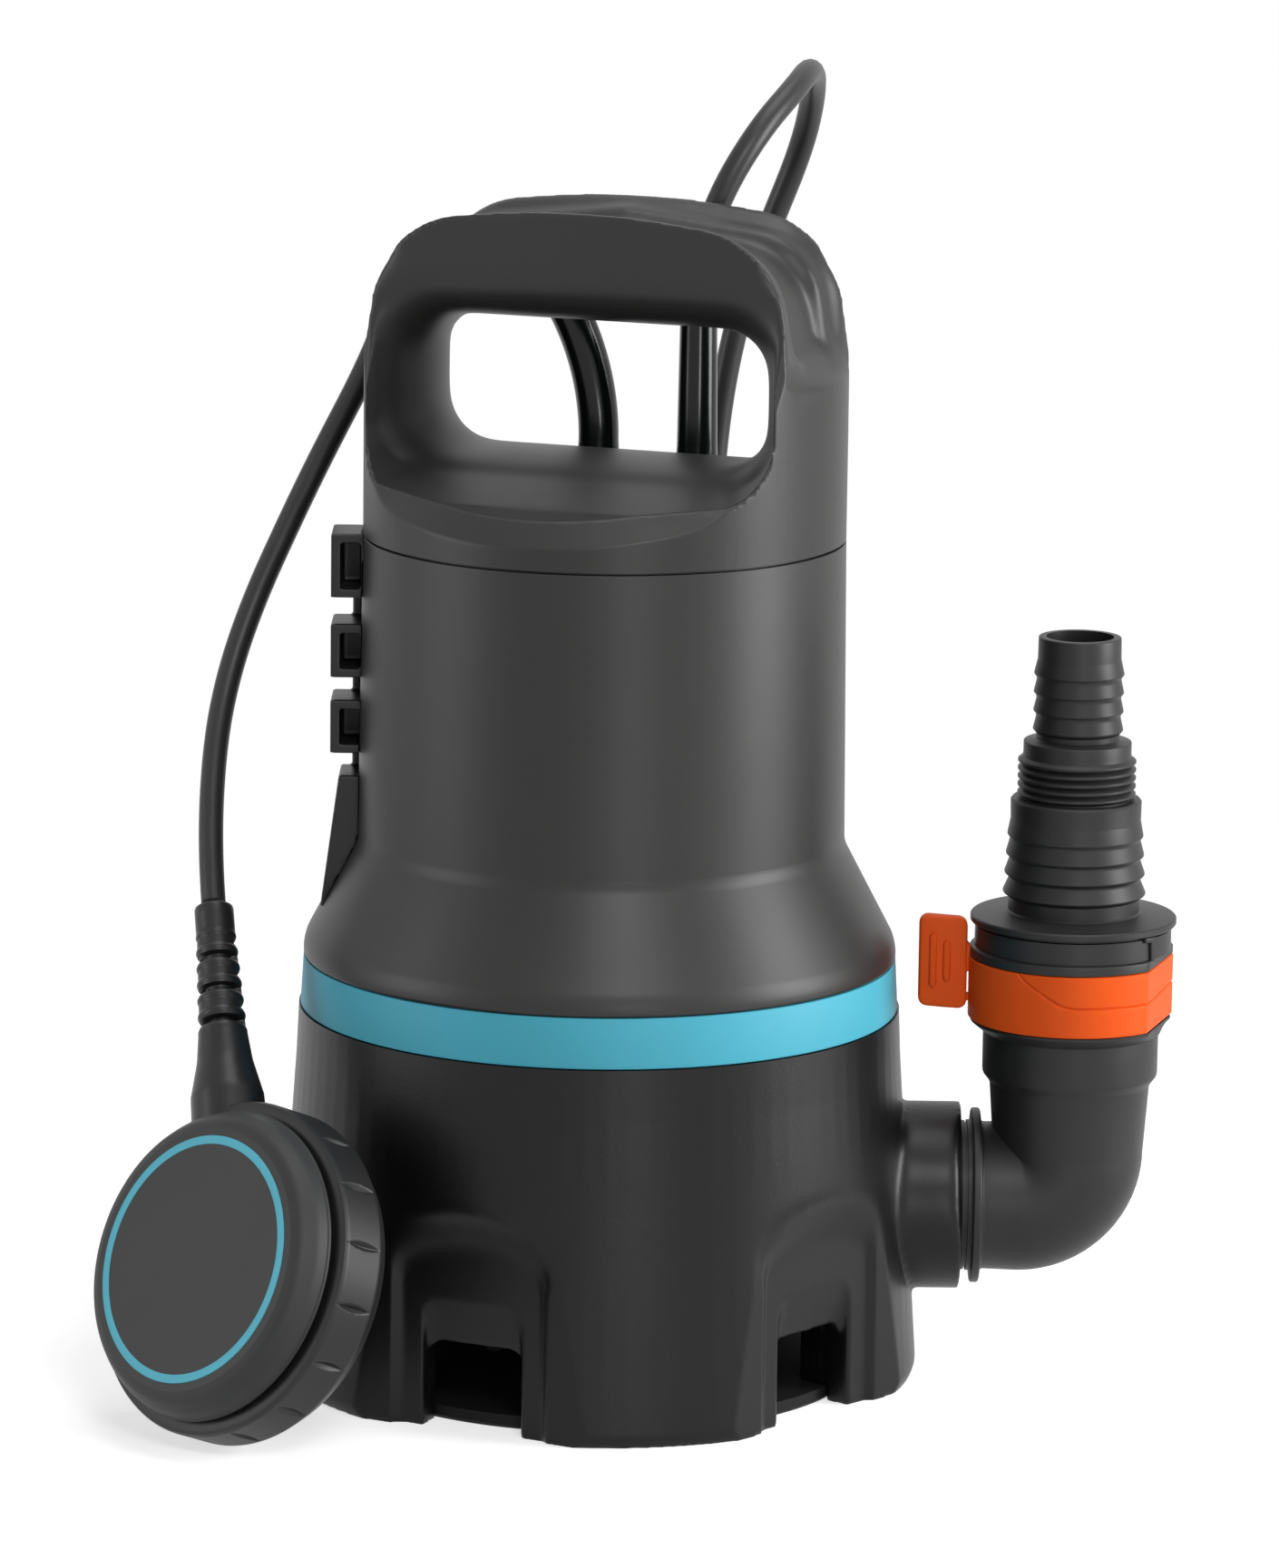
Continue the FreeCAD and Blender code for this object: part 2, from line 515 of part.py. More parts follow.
s.impeller_top = s.impeller_disc + s.impeller_plate
s.shaft_bottom = s.outlet_height - s.shaft_drop
s.stud_bottom = s.shaft_bottom - s.stud_length
s.lower_bearing = s.cover_seat - s.bearing_sink
s.upper_bearing = s.lower_bearing + s.bearing_span
s.shaft_top = s.upper_bearing + s.shaft_end
s.can_top = s.upper_bearing - s.can_drop
s.bracket_top = s.upper_bearing + s.bracket_rise
s.core_bottom = s.lower_bearing + s.core_rise
s.stub_end = s.stub_start + s.stub_length
s.elbow_spigot_start = s.stub_end - s.elbow_spigot_length
s.elbow_groove = s.stub_end - s.elbow_groove_depth
s.flange_start = s.stub_end + s.neck_length
s.flange_end = s.flange_start + s.flange_thickness
s.elbow_reach = s.flange_end + s.elbow_run
s.socket_start = s.outlet_height + s.socket_rise
s.rest_start = s.socket_start + s.rest_rise
s.rest_end = s.rest_start + s.rest_thickness
s.socket_end = s.socket_start + s.socket_height
s.socket_bore_start = s.socket_end - s.socket_depth
s.tab_bottom = s.rest_end + s.tab_rise
s.tab_top = s.tab_bottom + s.tab_height
s.link_bottom = s.tab_bottom + s.link_rise
s.plug_bottom = s.socket_bore_start + s.plug_rise
s.skirt_bottom = s.socket_end + s.skirt_gap
s.disc_bottom = s.skirt_bottom + s.skirt_height
s.disc_top = s.disc_bottom + s.disc_thickness
s.large_barb_first = s.disc_top + s.barb_foot_height
s.large_barb_top = s.large_barb_first + s.large_barb_length
s.thread_bottom = s.large_barb_top + s.thread_gap
s.shoulder_bottom = s.thread_bottom + s.thread_length
s.shoulder_top = s.shoulder_bottom + s.shoulder_thickness
s.small_barb_first = s.shoulder_top + s.small_barb_foot
s.tip_top = s.small_barb_first + s.small_barb_length


# Places and bound properties

UPRIGHT = FreeCAD.Rotation()
ALONG_X = FreeCAD.Rotation(V(0, 1, 0), 90)
ALONG_Y = FreeCAD.Rotation(V(1, 0, 0), -90)
STANDING = FreeCAD.Rotation(V(1, 0, 0), 90)


def bind(obj, **sizes):
    """Sets properties and ties them to the spreadsheet."""
    for name, value in sizes.items():
        value = as_size(value)
        whole = isinstance(getattr(obj, name), int)
        setattr(obj, name, int(value.number) if whole else value.number)
        obj.setExpression(name, value.text)


def put(obj, x=0, y=0, z=0, turn=UPRIGHT):
    """Places an object, with its position tied to the spreadsheet."""
    x, y, z = as_size(x), as_size(y), as_size(z)
    obj.Placement = FreeCAD.Placement(V(x.number, y.number, z.number), turn)
    for axis, value in (("x", x), ("y", y), ("z", z)):
        obj.setExpression("Placement.Base.%s" % axis, value.text)
    return obj


# Part primitives and booleans

def rod(name, radius, height, x=0, y=0, z=0, turn=UPRIGHT):
    obj = doc.addObject("Part::Cylinder", name)
    bind(obj, Radius=radius, Height=height)
    return put(obj, x, y, z, turn)


def taper(name, start, end, height, x=0, y=0, z=0, turn=UPRIGHT):
    obj = doc.addObject("Part::Cone", name)
    bind(obj, Radius1=start, Radius2=end, Height=height)
    return put(obj, x, y, z, turn)


def block(name, length, width, height, x=0, y=0, z=0, turn=UPRIGHT):
    obj = doc.addObject("Part::Box", name)
    bind(obj, Length=length, Width=width, Height=height)
    return put(obj, x, y, z, turn)


def ring(name, centre, section, x=0, y=0, z=0, turn=UPRIGHT, angle=360):
    obj = doc.addObject("Part::Torus", name)
    bind(obj, Radius1=centre, Radius2=section, Angle3=angle)
    return put(obj, x, y, z, turn)


def ball(name, radius, x=0, y=0, z=0):
    obj = doc.addObject("Part::Sphere", name)
    bind(obj, Radius=radius)
    return put(obj, x, y, z)


def fuse(name, *pieces):
    obj = doc.addObject("Part::MultiFuse", name)
    obj.Shapes = list(pieces)
    return obj


def cut(name, base, *tools):
    obj = doc.addObject("Part::Cut", name)
    obj.Base = base
    obj.Tool = tools[0] if len(tools) == 1 else fuse(name + "_tools", *tools)
    return obj


def common(name, first, second):
    obj = doc.addObject("Part::Common", name)
    obj.Base = first
    obj.Tool = second
    return obj


def group(name, pieces):
    obj = doc.addObject("Part::Compound", name)
    obj.Links = pieces
    return obj


def about_shaft(obj, angle):
    """Turns a finished piece about the shaft."""
    angle = as_size(angle)
    obj.Placement = FreeCAD.Placement(V(), FreeCAD.Rotation(V(0, 0, 1), angle.number))
    obj.setExpression("Placement.Rotation.Angle", angle.text)
    return obj


def round_the_shaft(x_out, angle):
    """Position on a circle about the shaft, the angle counted from +X."""
    return x_out * cosine(angle), x_out * sine(angle)


# PartDesign bodies from bound sketches

def plane_of(body, role):
    return [part for part in body.Origin.OriginFeatures if part.Role == role][0]


def sketch_on(body, name, role, offset=0, turn=UPRIGHT):
    """A sketch on one of the body's own planes, moved along that plane's normal."""
    sketch = body.newObject("Sketcher::SketchObject", name)
    sketch.AttachmentSupport = [(plane_of(body, role), "")]
    sketch.MapMode = "FlatFace"
    offset = as_size(offset)
    normal = turn.multVec(V(0, 0, offset.number))
    sketch.AttachmentOffset = FreeCAD.Placement(normal, turn)
    if turn.isSame(UPRIGHT, 1e-9):
        sketch.setExpression("AttachmentOffset.Base.z", offset.text)
    return sketch


def hold(sketch, kind, *where_and_value):
    """Adds one dimension and ties it to the spreadsheet."""
    where, value = where_and_value[:-1], as_size(where_and_value[-1])
    index = sketch.addConstraint(Sketcher.Constraint(kind, *where, value.number))
    sketch.setExpression("Constraints[%d]" % index, value.text)


def hold_point(sketch, edge, end, x, y):
    hold(sketch, "DistanceX", -1, 1, edge, end, x)
    hold(sketch, "DistanceY", -1, 1, edge, end, y)


def outline(sketch, points):
    """A closed outline of straight edges, each corner held from the origin."""
    points = [(as_size(x), as_size(y)) for x, y in points]
    count = len(points)
    for index, (x, y) in enumerate(points):
        x_next, y_next = points[(index + 1) % count]
        line = Part.LineSegment(V(x.number, y.number, 0), V(x_next.number, y_next.number, 0))
        sketch.addGeometry(line, False)
    for index in range(count):
        following = (index + 1) % count
        sketch.addConstraint(Sketcher.Constraint("Coincident", index, 2, following, 1))
    for index, (x, y) in enumerate(points):
        hold_point(sketch, index, 1, x, y)
    return sketch


def circle(sketch, x, y, radius):
    x, y, radius = as_size(x), as_size(y), as_size(radius)
    centre = V(x.number, y.number, 0)
    index = sketch.addGeometry(Part.Circle(centre, V(0, 0, 1), radius.number), False)
    hold_point(sketch, index, 3, x, y)
    hold(sketch, "Radius", index, radius)
    return sketch


def window(sketch, half_width, bottom, top, corner):
    """A rectangle with round corners, centred on the sketch's upright axis."""
    inner, low, high = half_width - corner, bottom + corner, top - corner
    corners = [
        (inner, low, 270, (inner, bottom), (half_width, low)),
        (inner, high, 0, (half_width, high), (inner, top)),
        (-inner, high, 90, (-inner, top), (-half_width, high)),
        (-inner, low, 180, (-half_width, low), (-inner, bottom)),
    ]
    for x, y, start, first, last in corners:
        arc = Part.Circle(V(float(x), float(y), 0), V(0, 0, 1), float(corner))
        span = (math.radians(start), math.radians(start + 90))
        sketch.addGeometry(Part.ArcOfCircle(arc, *span), False)
    for index in range(4):
        end, begin = corners[index][4], corners[(index + 1) % 4][3]
        line = Part.LineSegment(V(float(end[0]), float(end[1]), 0), V(float(begin[0]), float(begin[1]), 0))
        sketch.addGeometry(line, False)
    for index, (x, y, start, first, last) in enumerate(corners):
        hold_point(sketch, index, 1, *first)
        hold_point(sketch, index, 2, *last)
        hold(sketch, "Radius", index, corner)
        sketch.addConstraint(Sketcher.Constraint("Coincident", index, 2, 4 + index, 1))
        sketch.addConstraint(Sketcher.Constraint("Coincident", 4 + index, 2, (index + 1) % 4, 1))
    return sketch


def arch(sketch, half_width, bottom, spring, top):
    """An arched outline: upright sides and one arc over the top."""
    rise = top - spring
    radius = (half_width * half_width + rise * rise) / (2 * rise)
    right, left = V(float(half_width), float(spring), 0), V(-float(half_width), float(spring), 0)
    low_left, low_right = V(-float(half_width), float(bottom), 0), V(float(half_width), float(bottom), 0)
    sketch.addGeometry(Part.Arc(right, V(0, float(top), 0), left), False)
    sketch.addGeometry(Part.LineSegment(left, low_left), False)
    sketch.addGeometry(Part.LineSegment(low_left, low_right), False)
    sketch.addGeometry(Part.LineSegment(low_right, right), False)
    sketch.addConstraint(Sketcher.Constraint("Coincident", 0, 2, 1, 1))
    sketch.addConstraint(Sketcher.Constraint("Coincident", 1, 2, 2, 1))
    sketch.addConstraint(Sketcher.Constraint("Coincident", 2, 2, 3, 1))
    sketch.addConstraint(Sketcher.Constraint("Coincident", 3, 2, 0, 1))
    hold_point(sketch, 0, 1, half_width, spring)
    hold_point(sketch, 0, 2, -half_width, spring)
    hold_point(sketch, 2, 1, -half_width, bottom)
    hold_point(sketch, 2, 2, half_width, bottom)
    hold(sketch, "Radius", 0, radius)
    return sketch


def new_body(label):
    body = doc.addObject("PartDesign::Body", label)
    body.Label = label
    return body


def edges_at(shape, radius, height):
    """Names of the full circles about the Z axis with this radius and height."""
    names = []
    for index, edge in enumerate(shape.Edges, 1):
        curve = edge.Curve
        if not isinstance(curve, Part.Circle) or not edge.isClosed():
            continue
        if abs(curve.Radius - radius) < 1e-4 and abs(curve.Center.z - height) < 1e-4:
            names.append("Edge%d" % index)
    return names


def round_off(body, base, radius, names):
    fillet = body.newObject("PartDesign::Fillet", body.Label + "_round")
    fillet.Base = (base, names)
    bind(fillet, Radius=radius)
    body.Tip = fillet
    doc.recompute()
    return fillet


def turned(label, points, rounds=()):
    """A body of revolution about Z from (radius, height) points; rounds are (radius, height, rounding)."""
    body = new_body(label)
    sketch = outline(sketch_on(body, label + "_profile", "XZ_Plane"), points)
    turn = body.newObject("PartDesign::Revolution", label + "_turn")
    turn.Profile = sketch
    turn.ReferenceAxis = (sketch, ["V_Axis"])
    turn.Angle = 360
    doc.recompute()
    base = turn
    for radius, height, rounding in rounds:
        base = round_off(body, base, rounding, edges_at(base.Shape, float(radius), float(height)))
    return body


def pad(body, sketch, length, name="pad", midplane=False, reverse=False):
    feature = body.newObject("PartDesign::Pad", body.Label + "_" + name)
    feature.Profile = sketch
    feature.Midplane = midplane
    feature.Reversed = reverse
    bind(feature, Length=length)
    return feature


def pocket(body, sketch, length, name="pocket", reverse=False, midplane=False):
    feature = body.newObject("PartDesign::Pocket", body.Label + "_" + name)
    feature.Profile = sketch
    feature.Reversed = reverse
    feature.Midplane = midplane
    bind(feature, Length=length)
    return feature


def pattern(body, features, count, axis="Z_Axis"):
    feature = body.newObject("PartDesign::PolarPattern", body.Label + "_pattern")
    feature.Originals = features
    feature.Axis = (plane_of(body, axis), [""])
    feature.Angle = 360
    bind(feature, Occurrences=count)
    body.Tip = feature
    doc.recompute()
    return feature


def extruded(label, role, points, length, rounds=()):
    """A plate of the given outline, centred on one of the origin's planes; rounds are (x, y, rounding)."""
    body = new_body(label)
    sketch = outline(sketch_on(body, label + "_profile", role), points)
    base = pad(body, sketch, length, midplane=True)
    doc.recompute()
    for x, y, rounding in rounds:
        corner = sketch.getGlobalPlacement().multVec(V(float(x), float(y), 0))
        normal = sketch.getGlobalPlacement().Rotation.multVec(V(0, 0, 1))
        names = []
        for index, edge in enumerate(base.Shape.Edges, 1):
            middle = edge.valueAt((edge.FirstParameter + edge.LastParameter) / 2)
            away = middle - corner
            along = abs(edge.tangentAt(edge.FirstParameter).dot(normal)) > 0.999
            if along and (away - normal * away.dot(normal)).Length < 1e-3:
                names.append("Edge%d" % index)
        base = round_off(body, base, rounding, names)
    return body


# Casing

def make_base():
    """Pump base with five arched inlet slots, an outlet stub and screw bosses."""
    body = new_body("pump_base")
    upper = s.rim_radius - s.base_wall
    profile = sketch_on(body, "base_profile", "XZ_Plane")
    outline(profile, [
        (s.foot_radius - s.foot_inset, 0),
        (s.foot_radius, s.foot_edge),
        (s.rim_radius, s.base_height),
        (upper + 2 * s.fit_gap, s.base_height),
        (upper + 2 * s.fit_gap, s.cover_seat),
        (s.ledge_radius, s.cover_seat),
        (s.ledge_radius, s.cover_seat - s.ledge_depth),
        (upper, s.cover_seat - s.ledge_depth - s.ledge_slope),
        (upper, s.base_bore_height + s.ledge_depth),
        (s.base_bore, s.base_bore_height),
        (s.base_bore, 0),
    ])
    wall = body.newObject("PartDesign::Revolution", "base_turn")
    wall.Profile = profile
    wall.ReferenceAxis = (profile, ["V_Axis"])
    wall.Angle = 360
    doc.recompute()
    place = round_the_shaft(s.boss_circle, s.slot_azimuth + s.boss_turn - 90)
    boss = circle(sketch_on(body, "boss_circle_sketch", "XY_Plane", s.plate_thickness), *place, s.boss_radius)
    pilot_sketch = sketch_on(body, "pilot_circle", "XY_Plane", s.plate_thickness)
    pilot = circle(pilot_sketch, *place, s.screw_radius + s.close_gap)
    bosses = pattern(body, [pad(body, boss, s.boss_height, "boss")], s.slot_count)
    turn = FreeCAD.Rotation(V(0, 1, 0), float(s.slot_azimuth))
    below = -s.cut_reach
    facet = sketch_on(body, "facet_arch", "XZ_Plane", s.facet_distance, turn)
    arch(facet, s.facet_half_width, below, s.facet_spring, s.facet_top)
    facet_cut = pocket(body, facet, s.foot_radius - s.facet_distance + s.cut_reach, "facet", reverse=True)
    outer = sketch_on(body, "scoop_mouth", "XZ_Plane", s.facet_distance + s.close_gap, turn)
    arch(outer, s.scoop_half_width, below, s.scoop_spring, s.scoop_top)
    inner = sketch_on(body, "scoop_back", "XZ_Plane", s.ramp_start, turn)
    arch(inner, s.scoop_floor_half_width, below, s.scoop_floor_spring, s.scoop_floor_top)
    scoop = body.newObject("PartDesign::SubtractiveLoft", "scoop")
    scoop.Profile = outer
    scoop.Sections = [inner]
    scoop.Ruled = True
    ramp_mouth = sketch_on(body, "ramp_mouth", "XZ_Plane", s.ramp_start + s.close_gap, turn)
    window(ramp_mouth, s.slot_half_width + s.fit_gap, below, s.ramp_top, s.slot_round)
    ramp_back = sketch_on(body, "ramp_back", "XZ_Plane", s.ramp_end, turn)
    window(ramp_back, s.slot_half_width, below, s.slot_top, s.slot_round)
    ramp = body.newObject("PartDesign::SubtractiveLoft", "ramp")
    ramp.Profile = ramp_mouth
    ramp.Sections = [ramp_back]
    ramp.Ruled = True
    slot = sketch_on(body, "slot_window", "XZ_Plane", s.ramp_end + s.close_gap, turn)
    window(slot, s.slot_half_width, below, s.slot_top, s.slot_round)
    slot_cut = pocket(body, slot, s.ramp_end - s.base_bore + s.cut_reach, "slot")
    pilot_cut = pocket(body, pilot, s.screw_length, "pilot", reverse=True)
    leg_turn = FreeCAD.Rotation(V(0, 1, 0), float(s.slot_azimuth + 180 / s.slot_count - 90))
    hollow = sketch_on(body, "leg_hollow", "XZ_Plane", 0, leg_turn)
    outline(hollow, [
        (s.base_bore - 1, s.plate_thickness + s.leg_pocket_floor),
        (s.leg_pocket_radius, s.plate_thickness + s.leg_pocket_floor),
        (s.leg_pocket_radius, s.leg_pocket_top - s.leg_pocket_slope),
        (s.base_bore - 1, s.leg_pocket_top),
    ])
    leg_cut = body.newObject("PartDesign::Groove", "leg_groove")
    leg_cut.Profile = hollow
    leg_cut.ReferenceAxis = (hollow, ["V_Axis"])
    leg_cut.Midplane = True
    bind(leg_cut, Angle=s.leg_pocket_angle)
    doc.recompute()
    pattern(body, [facet_cut, scoop, ramp, slot_cut, pilot_cut, leg_cut], s.slot_count)
    stub = circle(sketch_on(body, "stub_circle", "YZ_Plane", s.stub_start), 0, s.outlet_height, s.stub_radius)
    pad(body, stub, s.stub_end - s.stub_start, "stub")
    doc.recompute()
    bore_sketch = sketch_on(body, "stub_bore_circle", "YZ_Plane", s.stub_start - s.cut_reach / 2)
    bore = circle(bore_sketch, 0, s.outlet_height, s.stub_bore)
    bore_cut = pocket(body, bore, s.stub_end - s.stub_start + s.cut_reach, "bore", reverse=True)
    body.Tip = bore_cut
    doc.recompute()
    return body


def make_base_plate():
    """Bottom plate under the inlet chamber, held by five countersunk screws."""
    body = turned("base_plate", [
        (0, 0),
        (s.base_bore - s.fit_gap - 1, 0),
        (s.base_bore - s.fit_gap, 1),
        (s.base_bore - s.fit_gap, s.plate_thickness),
        (0, s.plate_thickness),
    ])
    x, y = round_the_shaft(s.boss_circle, s.slot_azimuth + s.boss_turn - 90)
    hole = circle(sketch_on(body, "plate_hole", "XY_Plane"), x, y, s.screw_radius + s.fit_gap)
    sink = circle(sketch_on(body, "plate_sink", "XY_Plane"), x, y, s.screw_head_radius + s.fit_gap)
    hole_cut = pocket(body, hole, s.plate_thickness, "hole", reverse=True)
    sink_cut = pocket(body, sink, s.screw_head_height + s.fit_gap, "sink", reverse=True)
    doc.recompute()
    pattern(body, [hole_cut, sink_cut], s.slot_count)
    return body


def make_base_screws():
    screws = []
    for index in range(int(float(s.slot_count))):
        angle = s.slot_azimuth + s.boss_turn - 90 + index * (360 / s.slot_count)
        x, y = round_the_shaft(s.boss_circle, angle)
        head = rod("base_screw_head_%d" % index, s.screw_head_radius, s.screw_head_height, x, y, s.fit_gap)
        shank = rod("base_screw_shank_%d" % index, s.screw_radius, s.screw_length, x, y, s.fit_gap)
        screws.append(fuse("base_screw_%d" % index, head, shank))
    return group("base_screws", screws)


def make_trim_ring():
    low, high = s.base_height + s.fit_gap / 2, s.ring_top - s.fit_gap / 2
    inner = s.spigot_radius + s.fit_gap
    return turned("trim_ring", [
        (inner, low),
        (s.rim_radius - s.fit_gap, low),
        (s.skirt_radius, high),
        (inner, high),
    ])


def housing_outside(label, inner_points):
    """Outline of the motor housing; its inner side is given by the caller."""
    foot = s.ring_top
    points = [
        (s.skirt_radius, foot),
        (s.skirt_radius, foot + s.skirt_edge),
        (s.waist_radius, s.waist_height),
        (s.cap_radius, s.seam_height - s.seam_line),
    ]
    rounds = [
        (s.skirt_radius, foot + s.skirt_edge, s.skirt_round),
        (s.waist_radius, s.waist_height, s.waist_round),
    ]
    return turned(label, points + inner_points, rounds)


def make_housing():
    """Motor housing: a tall shell with a flared foot and a spigot inside the coloured ring."""
    foot = s.ring_top
    cover_top = s.cover_seat + s.cover_thickness
    lip = s.cap_radius - s.housing_lip
    wall = s.housing_wall
    return housing_outside("motor_housing", [
        (s.cap_radius - s.seam_depth, s.seam_height - s.seam_line),
        (s.cap_radius - s.seam_depth, s.seam_height),
        (lip, s.seam_height),
        (lip, s.seam_height - s.housing_lip_depth),
        (s.cap_radius - wall, s.seam_height - s.housing_lip_depth - s.housing_lip_taper),
        (s.waist_radius - wall, s.waist_height),
        (s.spigot_radius - s.spigot_wall, foot + s.skirt_edge + 1),
        (s.spigot_radius - s.spigot_wall, cover_top),
        (s.spigot_radius, cover_top),
        (s.spigot_radius, foot),
    ])


def make_envelope():
    """Solid of the housing's outside, used to shape what sits on it."""
    foot = s.ring_top
    return housing_outside("housing_envelope", [
        (s.cap_radius, s.seam_height + s.cut_reach),
        (0, s.seam_height + s.cut_reach),
        (0, foot),
    ])


def make_clip_rail(envelope):
    """Cable hooks and a tapered block on the left of the housing."""
    inside = s.cut_reach - s.cap_radius
    length = s.rail_reach + inside
    hooks = []
    holes = []
    places = [
        ("top", s.top_hook_bottom, s.top_hook_height),
        ("middle", s.middle_hook_bottom, s.hook_height),
        ("lower", s.lower_hook_bottom, s.hook_height),
    ]
    for name, bottom, height in places:
        hook = block(name + "_hook", length, s.rail_width, height, -s.rail_reach, -s.rail_front, bottom)
        hooks.append(hook)
        holes.append(block(
            name + "_hook_hole",
            s.rail_reach - s.hook_wall - s.hook_throat + 2,
            s.hook_depth + 1,
            height - 2 * s.hook_wall,
            -s.rail_reach + s.hook_wall,
            -s.rail_front - 1,
            bottom + s.hook_wall,
        ))
    wedge = extruded("rail_wedge", "XZ_Plane", [
        (inside, s.block_bottom),
        (inside, s.block_top),
        (-s.block_top_reach, s.block_top),
        (-s.block_bottom_reach, s.block_bottom),
    ], s.rail_width)
    put(wedge, 0, s.rail_width / 2 - s.rail_front, 0)
    back = block(
        "rail_back", s.rail_back_depth, s.rail_width - s.hook_depth - s.rail_back_gap,
        s.top_hook_bottom - s.block_bottom, s.rail_back_inset - s.rail_reach,
        s.hook_depth - s.rail_front + s.rail_back_gap, s.block_bottom + s.hook_wall,
    )
    solid = fuse("rail_solid", *hooks, wedge, back)
    return cut("clip_rail", solid, envelope, *holes)


def make_cap():
    """Handle cap: the housing's top with a carrying handle, built along X and then turned."""
    high = s.crown_height + s.cut_reach
    low = s.seam_height
    wide = s.cap_radius + s.cut_reach
    blank = rod("cap_blank", s.cap_radius, high - low, 0, 0, low)
    crown = extruded("cap_crown", "XZ_Plane", [
        (-wide, low),
        (wide, low),
        (wide, s.side_ledge),
        (s.side_half_width, s.side_ledge),
        (s.shoulder_half_width, s.shoulder_height),
        (0, s.crown_height),
        (-s.shoulder_half_width, s.shoulder_height),
        (-s.side_half_width, s.side_ledge),
        (-wide, s.side_ledge),
    ], 2 * wide, [
        (s.shoulder_half_width, s.shoulder_height, s.shoulder_round),
        (-s.shoulder_half_width, s.shoulder_height, s.shoulder_round),
        (0, s.crown_height, s.crown_round),
    ])
    solid = common("cap_solid", blank, crown)
    tools = []
    for side, name in ((-1, "front"), (1, "back")):
        tools.append(make_scoop(name, side))
        tools.append(make_hole_mouth(name, side))
    tools.append(make_hole_throat())
    tools.append(make_valley("valley_middle", s.valley_middle_share, 1))
    tools.append(make_valley("valley_edges", 1, s.valley_edge_share))
    tools.append(rod("cap_cavity", s.cavity_radius, s.cavity_top - low + 1, 0, 0, low - 1))
    for side, name in ((-1, "float"), (1, "mains")):
        place = (side * s.gland_spacing / 2, s.gland_back)
        bore = s.gland_radius + s.fit_gap / 2
        tools.append(rod(name + "_gland_hole", bore, 2 * s.cut_reach, *place, s.cavity_top - 1))
    for index in range(4):
        x, y = round_the_shaft(s.rod_circle, 45 + 90 * as_size(index) - s.handle_turn)
        bore = s.rod_radius + s.fit_gap / 2
        tools.append(rod("rod_hole_%d" % index, bore, s.rod_top - low + 1 + s.turn_gap, x, y, low - 1))
    return about_shaft(cut("handle_cap", solid, *tools), s.handle_turn)


def make_scoop(name, side):
    """Room in front of or behind the handle: its leaning face, the lip and the lip's bevel."""
    high = s.crown_height + s.cut_reach
    wide = s.cap_radius + s.cut_reach
    slope = s.bevel_height / (s.cap_radius - s.bevel_radius)
    return extruded("scoop_" + name, "YZ_Plane", [
        (side * s.grip_half_depth, high),
        (side * s.grip_half_depth, s.lean_height),
        (side * s.foot_half_depth, s.foot_height),
        (side * s.bevel_radius, s.scoop_bottom),
        (side * wide, s.scoop_bottom - (wide - s.bevel_radius) * slope),
        (side * wide, high),
    ], 2 * wide, [
        (side * s.grip_half_depth, s.lean_height, s.brow_round),
        (side * s.foot_half_depth, s.foot_height, s.scoop_round),
    ])


def make_hole_throat():
    """Smooth middle part of the hand hole, widening towards both faces."""
    body = new_body("hole_throat")
    sections = []
    for index, side in enumerate((-1, -0.5, 0, 0.5, 1)):
        spread, lift, drop = as_size(0), as_size(0), as_size(0)
        distance = s.hole_mid * (2 * side)
        if abs(side) == 0.5:
            spread, lift, drop = s.hole_mid_spread, s.hole_mid_spread, s.hole_mid_spread * 0.5
        if abs(side) == 1:
            spread, lift, drop = s.hole_mouth_spread, s.hole_mouth_lift, s.hole_mouth_drop
            distance = (s.grip_half_depth + s.turn_gap) * side
        sketch = sketch_on(body, "throat_%d" % index, "XZ_Plane", distance)
        window(sketch, s.hole_half_width + spread, s.hole_bottom - drop, s.hole_top + lift, s.hole_round)
        sections.append(sketch)
    loft = body.newObject("PartDesign::AdditiveLoft", "hole_throat_loft")
    loft.Profile = sections[0]
    loft.Sections = sections[1:]
    loft.Ruled = False
    doc.recompute()
    return body


def make_hole_mouth(name, side):
    """Part of the hand hole over the sloping floor, from the handle's face to the lip."""
    body = new_body("hole_mouth_" + name)
    near = sketch_on(body, "mouth_near_" + name, "XZ_Plane", -side * s.grip_half_depth)
    far = sketch_on(body, "mouth_far_" + name, "XZ_Plane", -side * (s.cap_radius + 2))
    top = s.hole_top + s.hole_mouth_lift
    wide = s.hole_half_width + s.hole_mouth_spread
    window(near, wide, s.hole_bottom - s.hole_mouth_drop, top, s.hole_round)
    window(far, s.mouth_half_width, s.scoop_bottom, top, s.hole_round)
    loft = body.newObject("PartDesign::AdditiveLoft", "hole_mouth_loft_" + name)
    loft.Profile = near
    loft.Sections = [far]
    loft.Ruled = True
    doc.recompute()
    return body


def make_valley(label, width_share, depth_share):
    """Part of the valley that runs over the crown between the handle's two faces."""
    high = s.crown_height + s.cut_reach
    wide = s.cap_radius + s.cut_reach
    side = s.side_half_width - s.valley_side * depth_share
    shoulder = s.shoulder_half_width - s.valley_side * (1.2 * depth_share)
    depth = s.valley_drop * depth_share
    drop = s.shoulder_height - depth
    return extruded(label, "XZ_Plane", [
        (wide, s.side_ledge),
        (wide, high),
        (-wide, high),
        (-wide, s.side_ledge),
        (-(s.side_half_width + s.cut_reach / 2), s.side_ledge),
        (-side, s.side_ledge + s.valley_slope),
        (-shoulder, drop),
        (0, s.crown_height - depth),
        (shoulder, drop),
        (side, s.side_ledge + s.valley_slope),
        (s.side_half_width + s.cut_reach / 2, s.side_ledge),
    ], 2 * width_share * s.valley_half_depth, [
        (shoulder, drop, s.valley_round),
        (-shoulder, drop, s.valley_round),
    ])


# Cable glands and clamp

